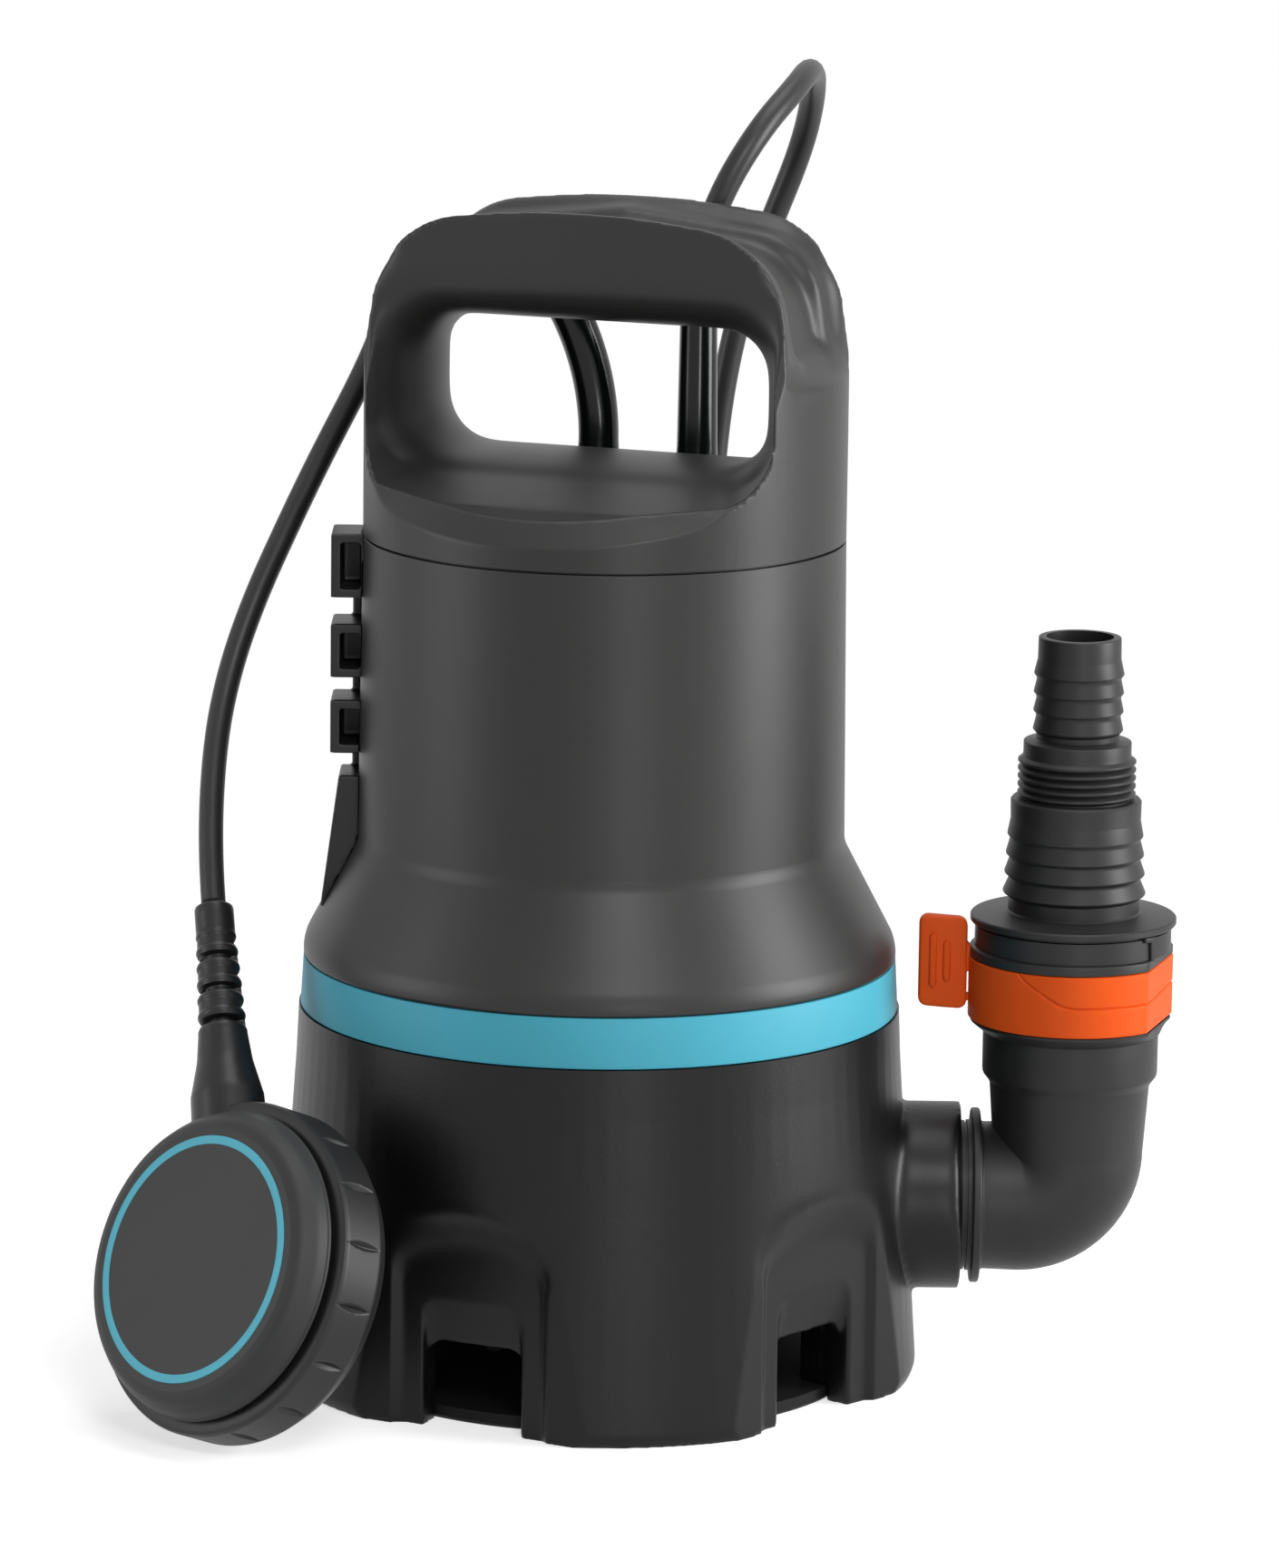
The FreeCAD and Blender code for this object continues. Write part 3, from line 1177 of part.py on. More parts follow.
def make_glands():
    """Moulded sleeves that carry the two cables out of the cap's back."""
    low = s.cavity_top - s.gland_flange_height
    x, y = s.gland_spacing / 2, s.gland_back
    flange = rod("mains_flange", s.gland_flange_radius, s.gland_flange_height, x, y, low)
    straight = s.float_gland_bend
    lower = taper("mains_sleeve", s.gland_radius, s.gland_neck_radius, straight - low, x, y, low)
    rest = s.mains_gland_top - straight
    upper = taper("mains_tip", s.gland_neck_radius, s.gland_tip_radius, rest, x, y, straight)
    mains = about_shaft(fuse("mains_gland", flange, lower, upper), s.handle_turn)
    float_flange = rod("float_flange", s.gland_flange_radius, s.gland_flange_height, -x, y, low)
    float_sleeve = taper("float_sleeve", s.gland_radius, s.gland_neck_radius, straight - low, -x, y, low)
    bend = ring(
        "float_bend", s.float_gland_curve, s.gland_neck_radius,
        -x - s.float_gland_curve, y, straight, STANDING, s.float_gland_angle,
    )
    return mains, about_shaft(fuse("float_gland", float_flange, float_sleeve, bend), s.handle_turn)


def make_clamp():
    """Bar that holds both glands up against the cap, with its two screws."""
    top = s.cavity_top - s.gland_flange_height
    low = top - s.clamp_height
    y = s.gland_back
    x = s.gland_spacing / 2
    front = y - s.clamp_width / 2
    bar = block("clamp_bar", s.clamp_length, s.clamp_width, s.clamp_height, -s.clamp_length / 2, front, low)
    length = s.clamp_post_length
    post = block("clamp_post", length, s.clamp_width, s.gland_flange_height, -length / 2, front, top)
    reach = s.clamp_height + s.cut_reach
    holes = [
        rod("clamp_hole_%d" % side, s.clamp_hole_radius, reach, side * x, y, low - 1)
        for side in (-1, 1)
    ]
    screws = []
    for index, side in enumerate((-1, 1)):
        place = (0, y + side * s.clamp_screw_spread)
        bore = s.clamp_screw_radius + s.fit_gap / 2
        holes.append(rod("clamp_screw_hole_%d" % index, bore, reach, *place, low - 1))
        foot = low - s.clamp_head_height
        head = rod("clamp_head_%d" % index, s.clamp_head_radius, s.clamp_head_height, *place, foot)
        shank = rod("clamp_shank_%d" % index, s.clamp_screw_radius, s.cavity_top - foot, *place, foot)
        screws.append(fuse("clamp_screw_%d" % index, head, shank))
    bar = cut("cable_clamp", fuse("clamp_solid", bar, post), *holes)
    return about_shaft(bar, s.handle_turn), about_shaft(group("clamp_screws", screws), s.handle_turn)


# Pump chamber, seals and shaft

def make_volute_casing():
    """Cup round the impeller with an inlet eye below and a spout into the outlet stub."""
    inner = s.casing_radius - s.casing_wall
    floor = s.casing_bottom + s.casing_wall
    body = turned("volute_casing", [
        (s.inlet_radius, s.casing_bottom),
        (s.casing_radius, s.casing_bottom),
        (s.casing_radius, s.cover_seat),
        (inner, s.cover_seat),
        (inner, floor),
        (s.inlet_radius, floor),
    ])
    rib = sketch_on(body, "rib_outline", "XZ_Plane")
    outline(rib, [
        (s.rib_start, s.casing_bottom + 1),
        (s.rib_start, s.casing_bottom - s.rib_drop * 0.5),
        (s.rib_start + 8, s.casing_bottom - s.rib_drop),
        (s.rib_end, s.casing_bottom - s.rib_drop),
        (s.rib_end, s.casing_bottom + 1),
    ])
    rib_pad = pad(body, rib, s.rib_thickness, "rib", midplane=True)
    doc.recompute()
    pattern(body, [rib_pad], s.rib_count)
    spout = circle(sketch_on(body, "spout_circle", "YZ_Plane", inner + 1), 0, s.outlet_height, s.spout_radius)
    reach = s.elbow_spigot_start - s.turn_gap
    pad(body, spout, reach - inner - 1, "spout")
    hole = circle(sketch_on(body, "spout_hole", "YZ_Plane", inner - 6), 0, s.outlet_height, s.spout_bore)
    pocket(body, hole, reach - inner + 8, "spout_bore", reverse=True)
    rounded = circle(sketch_on(body, "chamber_clear", "XY_Plane", floor), 0, 0, inner)
    cleared = pocket(body, rounded, s.hub_bottom - floor, "chamber", reverse=True)
    body.Tip = cleared
    doc.recompute()
    return body


def make_pump_cover():
    """Cover over the pump chamber; it holds the seals, the oil chamber and the lower bearing."""
    top = s.cover_seat + s.cover_thickness
    edge = s.rim_radius - s.base_wall
    can = s.can_radius - s.can_wall - s.fit_gap
    body = turned("pump_cover", [
        (s.seal_radius, s.hub_bottom),
        (s.hub_radius, s.hub_bottom),
        (s.hub_radius, s.cover_seat),
        (edge, s.cover_seat),
        (edge, top),
        (can, top),
        (can, top + 4),
        (s.moat_outer + 1, top + 4),
        (s.moat_outer, s.moat_bottom),
        (s.moat_inner, s.moat_bottom),
        (s.moat_inner, top),
        (s.bearing_radius, top),
        (s.bearing_radius, s.lower_bearing),
        (s.seal_radius, s.lower_bearing),
        (s.seal_radius, s.oil_top),
        (s.oil_radius, s.oil_top),
        (s.oil_radius, s.oil_bottom),
        (s.seal_radius, s.oil_bottom),
    ])
    hole = sketch_on(body, "rod_seat", "XY_Plane", top - s.rod_depth - s.fit_gap)
    circle(hole, *round_the_shaft(s.rod_circle, as_size(45)), s.rod_radius + s.fit_gap / 2)
    seat = pocket(body, hole, s.rod_depth + 1, "rod_seat", reverse=True)
    doc.recompute()
    pattern(body, [seat], 4)
    return body


def lip_seal(label, bottom):
    """Shaft seal with a thin lip on the shaft."""
    lip = s.shaft_radius + s.close_gap
    return turned(label, [
        (lip, bottom + 1),
        (s.seal_radius - 2, bottom),
        (s.seal_radius, bottom),
        (s.seal_radius, bottom + s.seal_height),
        (s.seal_radius - s.seal_wall, bottom + s.seal_height),
        (s.seal_radius - s.seal_wall, bottom + s.seal_floor),
        (lip, bottom + s.seal_floor),
    ])


def bearing(name, bottom):
    """Inner race, outer race and balls of a ball bearing."""
    inner = turned(name + "_inner_race", [
        (s.shaft_radius, bottom),
        (s.shaft_radius + s.bearing_race, bottom),
        (s.shaft_radius + s.bearing_race, bottom + s.bearing_width),
        (s.shaft_radius, bottom + s.bearing_width),
    ])
    outer = turned(name + "_outer_race", [
        (s.bearing_radius - s.bearing_race, bottom),
        (s.bearing_radius, bottom),
        (s.bearing_radius, bottom + s.bearing_width),
        (s.bearing_radius - s.bearing_race, bottom + s.bearing_width),
    ])
    circle_radius = (s.shaft_radius + s.bearing_radius) / 2
    balls = []
    for index in range(int(float(s.ball_count))):
        x, y = round_the_shaft(circle_radius, index * (360 / s.ball_count))
        balls.append(ball("%s_ball_%d" % (name, index), s.ball_radius, x, y, bottom + s.bearing_width / 2))
    return inner, outer, group(name + "_balls", balls)


def make_shaft():
    return turned("motor_shaft", [
        (0, s.stud_bottom),
        (s.stud_radius, s.stud_bottom),
        (s.stud_radius, s.shaft_bottom),
        (s.shaft_radius, s.shaft_bottom),
        (s.shaft_radius, s.shaft_top - 1),
        (s.shaft_radius - 1, s.shaft_top),
        (0, s.shaft_top),
    ])


def make_impeller():
    """Open vortex impeller: a disc with upright vanes under it."""
    body = turned("impeller", [
        (s.shaft_radius, s.shaft_bottom + 1),
        (s.impeller_hub, s.shaft_bottom + 1),
        (s.impeller_hub + 2, s.impeller_disc),
        (s.impeller_radius, s.impeller_disc),
        (s.impeller_radius, s.impeller_top),
        (s.shaft_radius, s.impeller_top),
    ])
    vane = sketch_on(body, "vane_outline", "XZ_Plane")
    outline(vane, [
        (s.impeller_hub - 1, s.vane_bottom),
        (s.impeller_radius - 6, s.vane_bottom),
        (s.impeller_radius, s.impeller_disc - 6),
        (s.impeller_radius, s.impeller_disc + 1),
        (s.impeller_hub - 1, s.impeller_disc + 1),
    ])
    vane_pad = pad(body, vane, s.vane_thickness, "vane", midplane=True)
    doc.recompute()
    pattern(body, [vane_pad], s.vane_count)
    return body


def make_impeller_nut():
    nut = doc.addObject("Part::Prism", "nut_prism")
    nut.Polygon = 6
    bind(nut, Circumradius=s.nut_radius, Height=s.nut_height)
    low = s.shaft_bottom + 1 - s.nut_height
    put(nut, 0, 0, low)
    thread = rod("nut_bore", s.stud_radius, s.nut_height - 1, 0, 0, low)
    return cut("impeller_nut", nut, thread, rod("nut_shoulder", s.shaft_radius, 2, 0, 0, s.shaft_bottom))


# Motor

def plain_ring(label, inner, outer, bottom, height, rounding=None):
    points = [(inner, bottom), (outer, bottom), (outer, bottom + height), (inner, bottom + height)]
    rounds = []
    if rounding is not None:
        rounds = [(radius, z, rounding) for radius, z in points]
    return turned(label, points, rounds)


def make_stator():
    outer = s.can_radius - s.can_wall - s.fit_gap
    body = plain_ring("stator_core", s.stator_bore, outer, s.core_bottom, s.core_height)
    slot = sketch_on(body, "stator_slot", "XY_Plane", s.core_bottom)
    half = s.stator_slot_width / 2
    outline(slot, [
        (s.stator_bore + 1.5, -half),
        (s.stator_slot_end, -half),
        (s.stator_slot_end, half),
        (s.stator_bore + 1.5, half),
    ])
    slot_cut = pocket(body, slot, s.core_height, "slot", reverse=True)
    doc.recompute()
    pattern(body, [slot_cut], s.stator_slots)
    return body


def make_bracket():
    """Upper bracket: a lid on the motor can with the upper bearing's seat."""
    can = s.can_radius - s.can_wall - s.fit_gap
    return turned("upper_bracket", [
        (s.shaft_radius + 2, s.bracket_top),
        (s.can_radius, s.bracket_top),
        (s.can_radius, s.can_top),
        (can, s.can_top),
        (can, s.can_top - s.bracket_spigot),
        (can - s.bracket_rim, s.can_top - s.bracket_spigot),
        (can - s.bracket_rim, s.can_top + s.bracket_lid),
        (s.bearing_radius + s.bracket_lid, s.can_top + s.bracket_lid),
        (s.bearing_radius + 3, s.upper_bearing - 1),
        (s.bearing_radius, s.upper_bearing - 1),
        (s.bearing_radius, s.upper_bearing + s.bearing_width),
        (s.shaft_radius + 2, s.upper_bearing + s.bearing_width),
    ])


def make_tie_rods():
    """Four rods from the pump cover up into the handle cap, each with a nut on the cover."""
    rods = []
    top = s.cover_seat + s.cover_thickness
    foot = top - s.rod_depth
    for index in range(4):
        place = round_the_shaft(s.rod_circle, 45 + 90 * as_size(index))
        shank = rod("tie_rod_shank_%d" % index, s.rod_radius, s.rod_top - foot, *place, foot)
        nut = rod("tie_rod_nut_%d" % index, s.rod_nut_radius, s.rod_nut_height, *place, top)
        rods.append(fuse("tie_rod_%d" % index, shank, nut))
    return group("tie_rods", rods)


def make_electrics():
    """Start capacitor, terminal block and thermal cutout on the upper bracket."""
    top = s.bracket_top
    half = s.capacitor_length / 2
    middle = top + s.capacitor_radius
    front = s.capacitor_offset
    can = rod("capacitor_can", s.capacitor_radius, s.capacitor_length, -half, front, middle, ALONG_X)
    pieces = [can]
    for side in (-1, 1):
        place = (half - 1, front + side * s.tag_spacing / 2 - 0.5, middle - s.tag_height / 2)
        pieces.append(block("capacitor_tag_%d" % side, s.tag_length, 1, s.tag_height, *place))
    terminals = block(
        "terminal_body", s.terminal_length, s.terminal_width, s.terminal_width,
        -s.terminal_length / 2, s.terminal_back - s.terminal_width / 2, top,
    )
    wells = []
    for index in range(4):
        place = (s.terminal_pitch * (index - 1.5), s.terminal_back, top + s.terminal_width - s.well_depth)
        wells.append(rod("terminal_well_%d" % index, s.well_radius, s.well_depth + 1, *place))
    cutout = block(
        "thermal_cutout", s.cutout_length, s.cutout_width, s.cutout_height,
        -s.cutout_length / 2, s.cutout_back, top,
    )
    return fuse("start_capacitor", *pieces), cut("terminal_block", terminals, *wells), cutout


# Outlet elbow, locking collar and hose connector

def bend_quarter(label, radius, offset):
    """Outer quarter of a tight bend: its section outside the bend's axis, turned by 90 degrees."""
    body = new_body(label)
    sketch = sketch_on(body, label + "_section", "XY_Plane")
    half = root(radius * radius - offset * offset)
    arc = Part.Arc(V(0, -float(half), 0), V(float(offset + radius), 0, 0), V(0, float(half), 0))
    sketch.addGeometry(arc, False)
    sketch.addGeometry(Part.LineSegment(V(0, float(half), 0), V(0, -float(half), 0)), False)
    sketch.addConstraint(Sketcher.Constraint("Coincident", 0, 2, 1, 1))
    sketch.addConstraint(Sketcher.Constraint("Coincident", 1, 2, 0, 1))
    hold_point(sketch, 1, 2, 0, -half)
    hold_point(sketch, 1, 1, 0, half)
    hold(sketch, "Radius", 0, radius)
    turn = body.newObject("PartDesign::Revolution", label + "_turn")
    turn.Profile = sketch
    turn.ReferenceAxis = (sketch, ["V_Axis"])
    turn.Angle = 90
    doc.recompute()
    return body


def make_elbow():
    """Elbow that swivels in the outlet stub and carries the hose connector."""
    z = s.outlet_height
    x = s.elbow_reach
    bend_x = x - s.bend_offset
    bend_z = z + s.bend_offset
    spigot_length = s.stub_end - s.elbow_spigot_start + 1
    neck_start = s.stub_end + s.fit_gap
    flange = s.flange_start
    level = s.flange_end
    slope_start = s.socket_start - s.socket_slope
    groove_floor = s.elbow_spigot_radius - s.groove_depth
    pieces = [
        rod("elbow_spigot", s.elbow_spigot_radius, spigot_length, s.elbow_spigot_start, 0, z, ALONG_X),
        rod("elbow_neck", s.neck_radius, flange - neck_start, neck_start, 0, z, ALONG_X),
        rod("elbow_flange", s.elbow_flange_radius, level - flange, flange, 0, z, ALONG_X),
        taper("level_pipe", s.pipe_start_radius, s.bend_radius, bend_x - level, level, 0, z, ALONG_X),
        put(bend_quarter("elbow_bend", s.bend_radius, s.bend_offset), bend_x, 0, bend_z),
        taper("upright_pipe", s.bend_radius, s.pipe_radius, slope_start - bend_z, x, 0, bend_z),
        taper("elbow_slope", s.pipe_radius, s.socket_radius, s.socket_slope, x, 0, slope_start),
        rod("elbow_socket", s.socket_radius, s.socket_end - s.socket_start, x, 0, s.socket_start),
        rod("elbow_rest", s.rest_radius, s.rest_end - s.rest_start, x, 0, s.rest_start),
    ]
    start = s.elbow_spigot_start - 1
    bores = [
        rod("level_bore", s.pipe_bore, bend_x - start, start, 0, z, ALONG_X),
        put(bend_quarter("elbow_bend_bore", s.pipe_bore, s.bend_offset), bend_x, 0, bend_z),
        rod("upright_bore", s.pipe_bore, s.socket_end - bend_z, x, 0, bend_z),
        rod("socket_bore", s.socket_bore, s.socket_end - s.socket_bore_start + 1, x, 0, s.socket_bore_start),
    ]
    groove = cut(
        "elbow_groove",
        rod("groove_outside", s.elbow_spigot_radius + 1, s.groove_width, s.elbow_groove, 0, z, ALONG_X),
        rod("groove_inside", groove_floor, s.groove_width, s.elbow_groove, 0, z, ALONG_X),
    )
    return cut("outlet_elbow", fuse("elbow_solid", *pieces), *bores, groove)


def make_elbow_seal():
    centre = s.elbow_spigot_radius - s.groove_depth + s.seal_section + 0.05
    middle = s.elbow_groove + s.groove_width / 2
    return ring("elbow_seal", centre, s.seal_section, middle, 0, s.outlet_height, ALONG_X)


def make_connector_seal():
    centre = s.plug_radius - s.plug_groove_depth + s.seal_section + 0.05
    middle = s.plug_bottom + s.plug_groove + s.plug_groove_width / 2
    return ring("connector_seal", centre, s.seal_section, s.elbow_reach, 0, middle)


def make_collar():
    """Locking collar with a ribbed thumb tab on the side towards the pump."""
    x = s.elbow_reach
    low = s.rest_end + s.turn_gap
    band = rod("collar_band", s.collar_outer, s.collar_height, x, 0, low)
    flat = extruded("collar_tab", "XZ_Plane", [
        (x - s.tab_reach, s.tab_bottom + 2),
        (x - s.tab_reach + s.tab_width, s.tab_bottom),
        (x - s.tab_reach + s.tab_width, s.tab_top - 1),
        (x - s.tab_reach, s.tab_top),
    ], s.tab_thickness, [
        (x - s.tab_reach, s.tab_top, s.tab_round),
        (x - s.tab_reach + s.tab_width, s.tab_top - 1, s.tab_round),
        (x - s.tab_reach + s.tab_width, s.tab_bottom, s.tab_round),
        (x - s.tab_reach, s.tab_bottom + 2, s.tab_round),
    ])
    length = s.tab_reach - s.collar_inner - s.link_gap - 1
    link = block("collar_link", length, s.tab_thickness - 1, s.link_height,
                 x - s.tab_reach + s.link_gap, -s.tab_thickness / 2 + 0.5, s.link_bottom)
    ribs = []
    for index in range(2):
        place = (x - s.tab_reach + s.first_rib + s.rib_pitch * index, -s.tab_thickness / 2 - s.rib_rise)
        ribs.append(block(
            "collar_rib_%d" % index, s.rib_width, s.tab_thickness + 2 * s.rib_rise,
            s.tab_top - s.tab_bottom - 2 * s.rib_inset, *place, s.tab_bottom + s.rib_inset,
        ))
    bore = rod("collar_bore", s.collar_inner, s.collar_height + 2, x, 0, low - 1)
    return cut("lock_collar", fuse("collar_solid", band, flat, link, *ribs), bore)


def make_connector():
    """Stepped hose connector: 38 mm barbs, a pipe thread and 25 mm barbs."""
    groove = s.plug_bottom + s.plug_groove
    points = [
        (s.low_bore, s.plug_bottom),
        (s.plug_radius, s.plug_bottom),
        (s.plug_radius, groove),
        (s.plug_radius - s.plug_groove_depth, groove),
        (s.plug_radius - s.plug_groove_depth, groove + s.plug_groove_width),
        (s.plug_radius, groove + s.plug_groove_width),
        (s.plug_radius, s.skirt_bottom),
        (s.skirt_ledge_radius, s.skirt_bottom),
        (s.skirt_ledge_radius, s.skirt_bottom + s.skirt_ledge_height),
        (s.connector_skirt_radius, s.skirt_bottom + s.skirt_ledge_height),
        (s.connector_skirt_radius, s.disc_bottom),
        (s.disc_radius, s.disc_bottom),
        (s.disc_radius, s.disc_top),
        (s.barb_foot_radius, s.disc_top),
        (s.barb_foot_radius, s.large_barb_first - s.barb_step),
    ]
    for index in range(4):
        edge = s.large_barb_first + s.large_barb_pitch * index
        points.append((s.large_barb_radius - s.large_barb_taper * index, edge))
        points.append((s.large_barb_valley, edge + s.large_barb_pitch - s.barb_step))
    points.append((s.large_barb_valley, s.large_barb_top))
    points.append((s.thread_root_radius, s.large_barb_top))
    for index in range(int(float(s.thread_turns))):
        edge = s.thread_bottom + s.thread_pitch * index
        points.append((s.thread_root_radius, edge))
        points.append((s.thread_top_radius, edge + s.thread_pitch * s.crest_start))
        points.append((s.thread_top_radius, edge + s.thread_pitch * s.crest_end))
    points += [
        (s.thread_root_radius, s.thread_bottom + s.thread_pitch * s.thread_turns),
        (s.thread_root_radius - 0.6, s.shoulder_bottom),
        (s.shoulder_radius, s.shoulder_bottom + 0.2),
        (s.shoulder_radius, s.shoulder_top),
        (s.small_barb_valley, s.shoulder_top),
        (s.small_barb_valley, s.small_barb_first - s.barb_step),
    ]
    for index in range(4):
        edge = s.small_barb_first + s.small_barb_pitch * index
        points.append((s.small_barb_radius, edge))
        points.append((s.small_barb_valley, edge + s.small_barb_pitch - s.barb_step))
    points += [
        (s.tip_radius, s.tip_top - 1),
        (s.tip_radius - 0.5, s.tip_top),
        (s.tip_bore, s.tip_top),
        (s.tip_bore, s.shoulder_top),
        (s.mid_bore, s.shoulder_bottom - 3),
        (s.mid_bore, s.large_barb_top),
        (s.low_bore, s.large_barb_top - 6),
    ]
    return put(turned("hose_connector", points), s.elbow_reach)


# Float switch

def float_frame():
    """Placement of the float: Z out of its face, Y along the cable's boot."""
    azimuth, tilt, roll = (math.radians(float(a)) for a in (s.float_azimuth, s.float_tilt, s.float_roll))
    face = V(math.sin(azimuth) * math.cos(tilt), -math.cos(azimuth) * math.cos(tilt), math.sin(tilt))
    side = V(math.cos(azimuth), math.sin(azimuth), 0)
    up = face.cross(side)
    along = up * math.cos(roll) - side * math.sin(roll)
    turn = FreeCAD.Rotation(along.cross(face), along, face, "ZXY")
    return FreeCAD.Placement(V(-float(s.float_left), -float(s.float_front), float(s.float_height)), turn)


def in_float(obj):
    """Moves a finished piece from the float's own frame to its place beside the pump."""
    frame = float_frame()
    obj.Placement = frame.multiply(obj.Placement)
    for axis, text in (("x", "-Sizes.float_left"), ("y", "-Sizes.float_front"), ("z", "Sizes.float_height")):
        obj.setExpression("Placement.Base.%s" % axis, text)
    return obj


def make_front_shell():
    wall = s.float_wall
    spigot = s.bezel_radius - wall - s.fit_gap
    face = s.face_depth - s.face_sink
    return turned("float_front_shell", [
        (0, face),
        (s.ring_inner, face),
        (s.ring_inner, face - s.ring_depth),
        (s.ring_outer, face - s.ring_depth),
        (s.ring_outer, s.face_depth),
        (s.face_radius, s.face_depth - s.face_sink / 2),
        (s.bezel_radius - s.bezel_taper, s.face_depth - s.bezel_shoulder),
        (s.bezel_radius, s.face_depth - s.bezel_start),
        (s.bezel_radius, s.float_rim + 1.2),
        (spigot, s.float_rim + 0.1),
        (spigot, 2),
        (spigot - wall, 2),
        (spigot - wall, s.face_depth - 6.5),
        (s.face_radius - 2, face - wall),
        (0, face - wall),
    ], [
        (s.face_radius, s.face_depth - s.face_sink / 2, s.face_round),
        (s.bezel_radius - s.bezel_taper, s.face_depth - s.bezel_shoulder, s.bezel_round),
    ])


def make_rear_shell():
    wall = s.float_wall
    inner = s.bezel_radius - wall
    body = turned("float_rear_shell", [
        (0, -s.float_back),
        (s.back_flat, -s.float_back + s.back_rise),
        (s.bezel_radius - s.back_edge + 1, -s.float_back + s.back_edge),
        (s.float_radius - 1, -s.float_rim - 0.6),
        (s.float_radius, -s.float_rim + 1.5),
        (s.float_radius, s.float_rim - 1.5),
        (s.float_radius - 1.2, s.float_rim),
        (inner, s.float_rim),
        (inner, -s.float_rim + 1),
        (inner - 4, -s.float_back + 4 + wall),
        (s.back_flat - 1, -s.float_back + s.back_rise + wall),
        (0, -s.float_back + wall),
    ])
    notch = sketch_on(body, "notch_outline", "XZ_Plane")
    outline(notch, [
        (s.float_radius - s.notch_depth, s.float_rim + 0.5),
        (s.float_radius - s.notch_depth * 0.2, -1),
        (s.float_radius + 1, -1),
        (s.float_radius + 1, s.float_rim + 0.5),
    ])
    notch_cut = pocket(body, notch, s.notch_width, "notch", midplane=True)
    doc.recompute()
    pattern(body, [notch_cut], s.notch_count)
    return body


def make_face_ring():
    top = s.face_depth + 0.05
    return turned("float_face_ring", [
        (s.ring_inner, s.face_depth - s.face_sink - s.ring_depth),
        (s.ring_outer, s.face_depth - s.face_sink - s.ring_depth),
        (s.ring_outer, top),
        (s.ring_inner, top),
    ])


def make_boot():
    """Slotted bend relief between the float and its cable."""
    start = s.float_radius - 6
    cone = s.boot_foot_end - s.boot_foot_taper
    pieces = [
        rod("boot_foot", s.boot_foot_radius, cone - start, 0, start, 0, ALONG_Y),
        taper("boot_cone", s.boot_foot_radius, s.boot_neck_radius, s.boot_neck_start - cone,
              0, cone, 0, ALONG_Y),
        taper("boot_neck", s.boot_neck_radius, s.boot_tip_radius + 0.4, s.boot_tip_start - s.boot_neck_start,
              0, s.boot_neck_start, 0, ALONG_Y),
        rod("boot_tip", s.boot_tip_radius, s.boot_end - s.boot_tip_start, 0, s.boot_tip_start, 0, ALONG_Y),
    ]
    pitch = (s.boot_tip_start - s.boot_neck_start) / s.boot_slots
    tools = [rod("boot_clearance", s.float_radius, 2 * s.float_rim + 30, 0, 0, -s.float_rim - 15)]
    for index in range(int(float(s.boot_slots))):
        y = s.boot_neck_start + pitch * (index + 0.3)
        if index % 2:
            x = s.boot_core
        else:
            x = -s.boot_core - s.cut_reach
        tools.append(block("boot_slot_%d" % index, s.cut_reach, s.boot_slot_height, 3 * s.cut_reach,
                           x, y, -1.5 * s.cut_reach))
    return cut("float_boot", fuse("boot_solid", *pieces), *tools)


def make_float_inside():
    """Ball tube and switch inside the float, and the steel ball at its low end."""
    floor = -s.float_back + s.float_wall + 1
    z = floor + s.ball_tube_radius - 0.2
    half = s.ball_tube_length / 2
    outside = rod("ball_tube_solid", s.ball_tube_radius, s.ball_tube_length, 0, -half, z, ALONG_Y)
    bore = rod("ball_tube_hole", s.ball_tube_bore, s.ball_tube_length, 0, -half + 2, z, ALONG_Y)
    tube = cut("switch_ball_tube", outside, bore)
    switch = block("float_micro_switch", s.micro_switch_length, s.micro_switch_width, s.micro_switch_height,
                   -s.micro_switch_length / 2, half + s.turn_gap, z - 5)
    steel = ball("switch_ball", s.switch_ball_radius, 0, -half + 2 + s.switch_ball_radius + 0.2, z)
    return tube, switch, steel


# Cords

def tube_wire(points):
    """Straight runs joined by tangent arcs, each arc as large as its two runs allow."""
    edges = []
    radii = []
    here = points[0]
    for before, corner, after in zip(points, points[1:], points[2:]):
        back, ahead = before - corner, after - corner
        run = min(back.Length, ahead.Length)
        back.normalize()
        ahead.normalize()
        half_turn = (math.pi - back.getAngle(ahead)) / 2
        trim = 0.45 * run
        radius = trim / math.tan(half_turn)
        start, end = corner + back * trim, corner + ahead * trim
        bisector = (back + ahead).normalize()
        middle = corner + bisector * (radius / math.cos(half_turn) - radius)
        edges.append(Part.LineSegment(here, start).toShape())
        edges.append(Part.Arc(start, middle, end).toShape())
        radii.append(radius)
        here = end
    edges.append(Part.LineSegment(here, points[-1]).toShape())
    return Part.Wire(edges), radii


def sweep(wire, diameter):
    """Round tube along a wire, started square to its first edge."""
    first = wire.Edges[0]
    start = first.valueAt(first.FirstParameter)
    direction = first.tangentAt(first.FirstParameter)
    section = Part.Wire([Part.Circle(start, direction, diameter / 2).toShape()])
    return wire.makePipeShell([section], True, False)


def cord(label, points, diameter):
    wire, radii = tube_wire(points)
    shape = sweep(wire, diameter)
    expected = math.pi * diameter * diameter / 4 * wire.Length
    print("%s: length %.1f, radii %s" % (label, wire.Length, [round(r) for r in radii]))
    print("%s: volume %.0f against %.0f" % (label, shape.Volume, expected))
    obj = doc.addObject("Part::Feature", label)
    obj.Shape = shape
    return obj


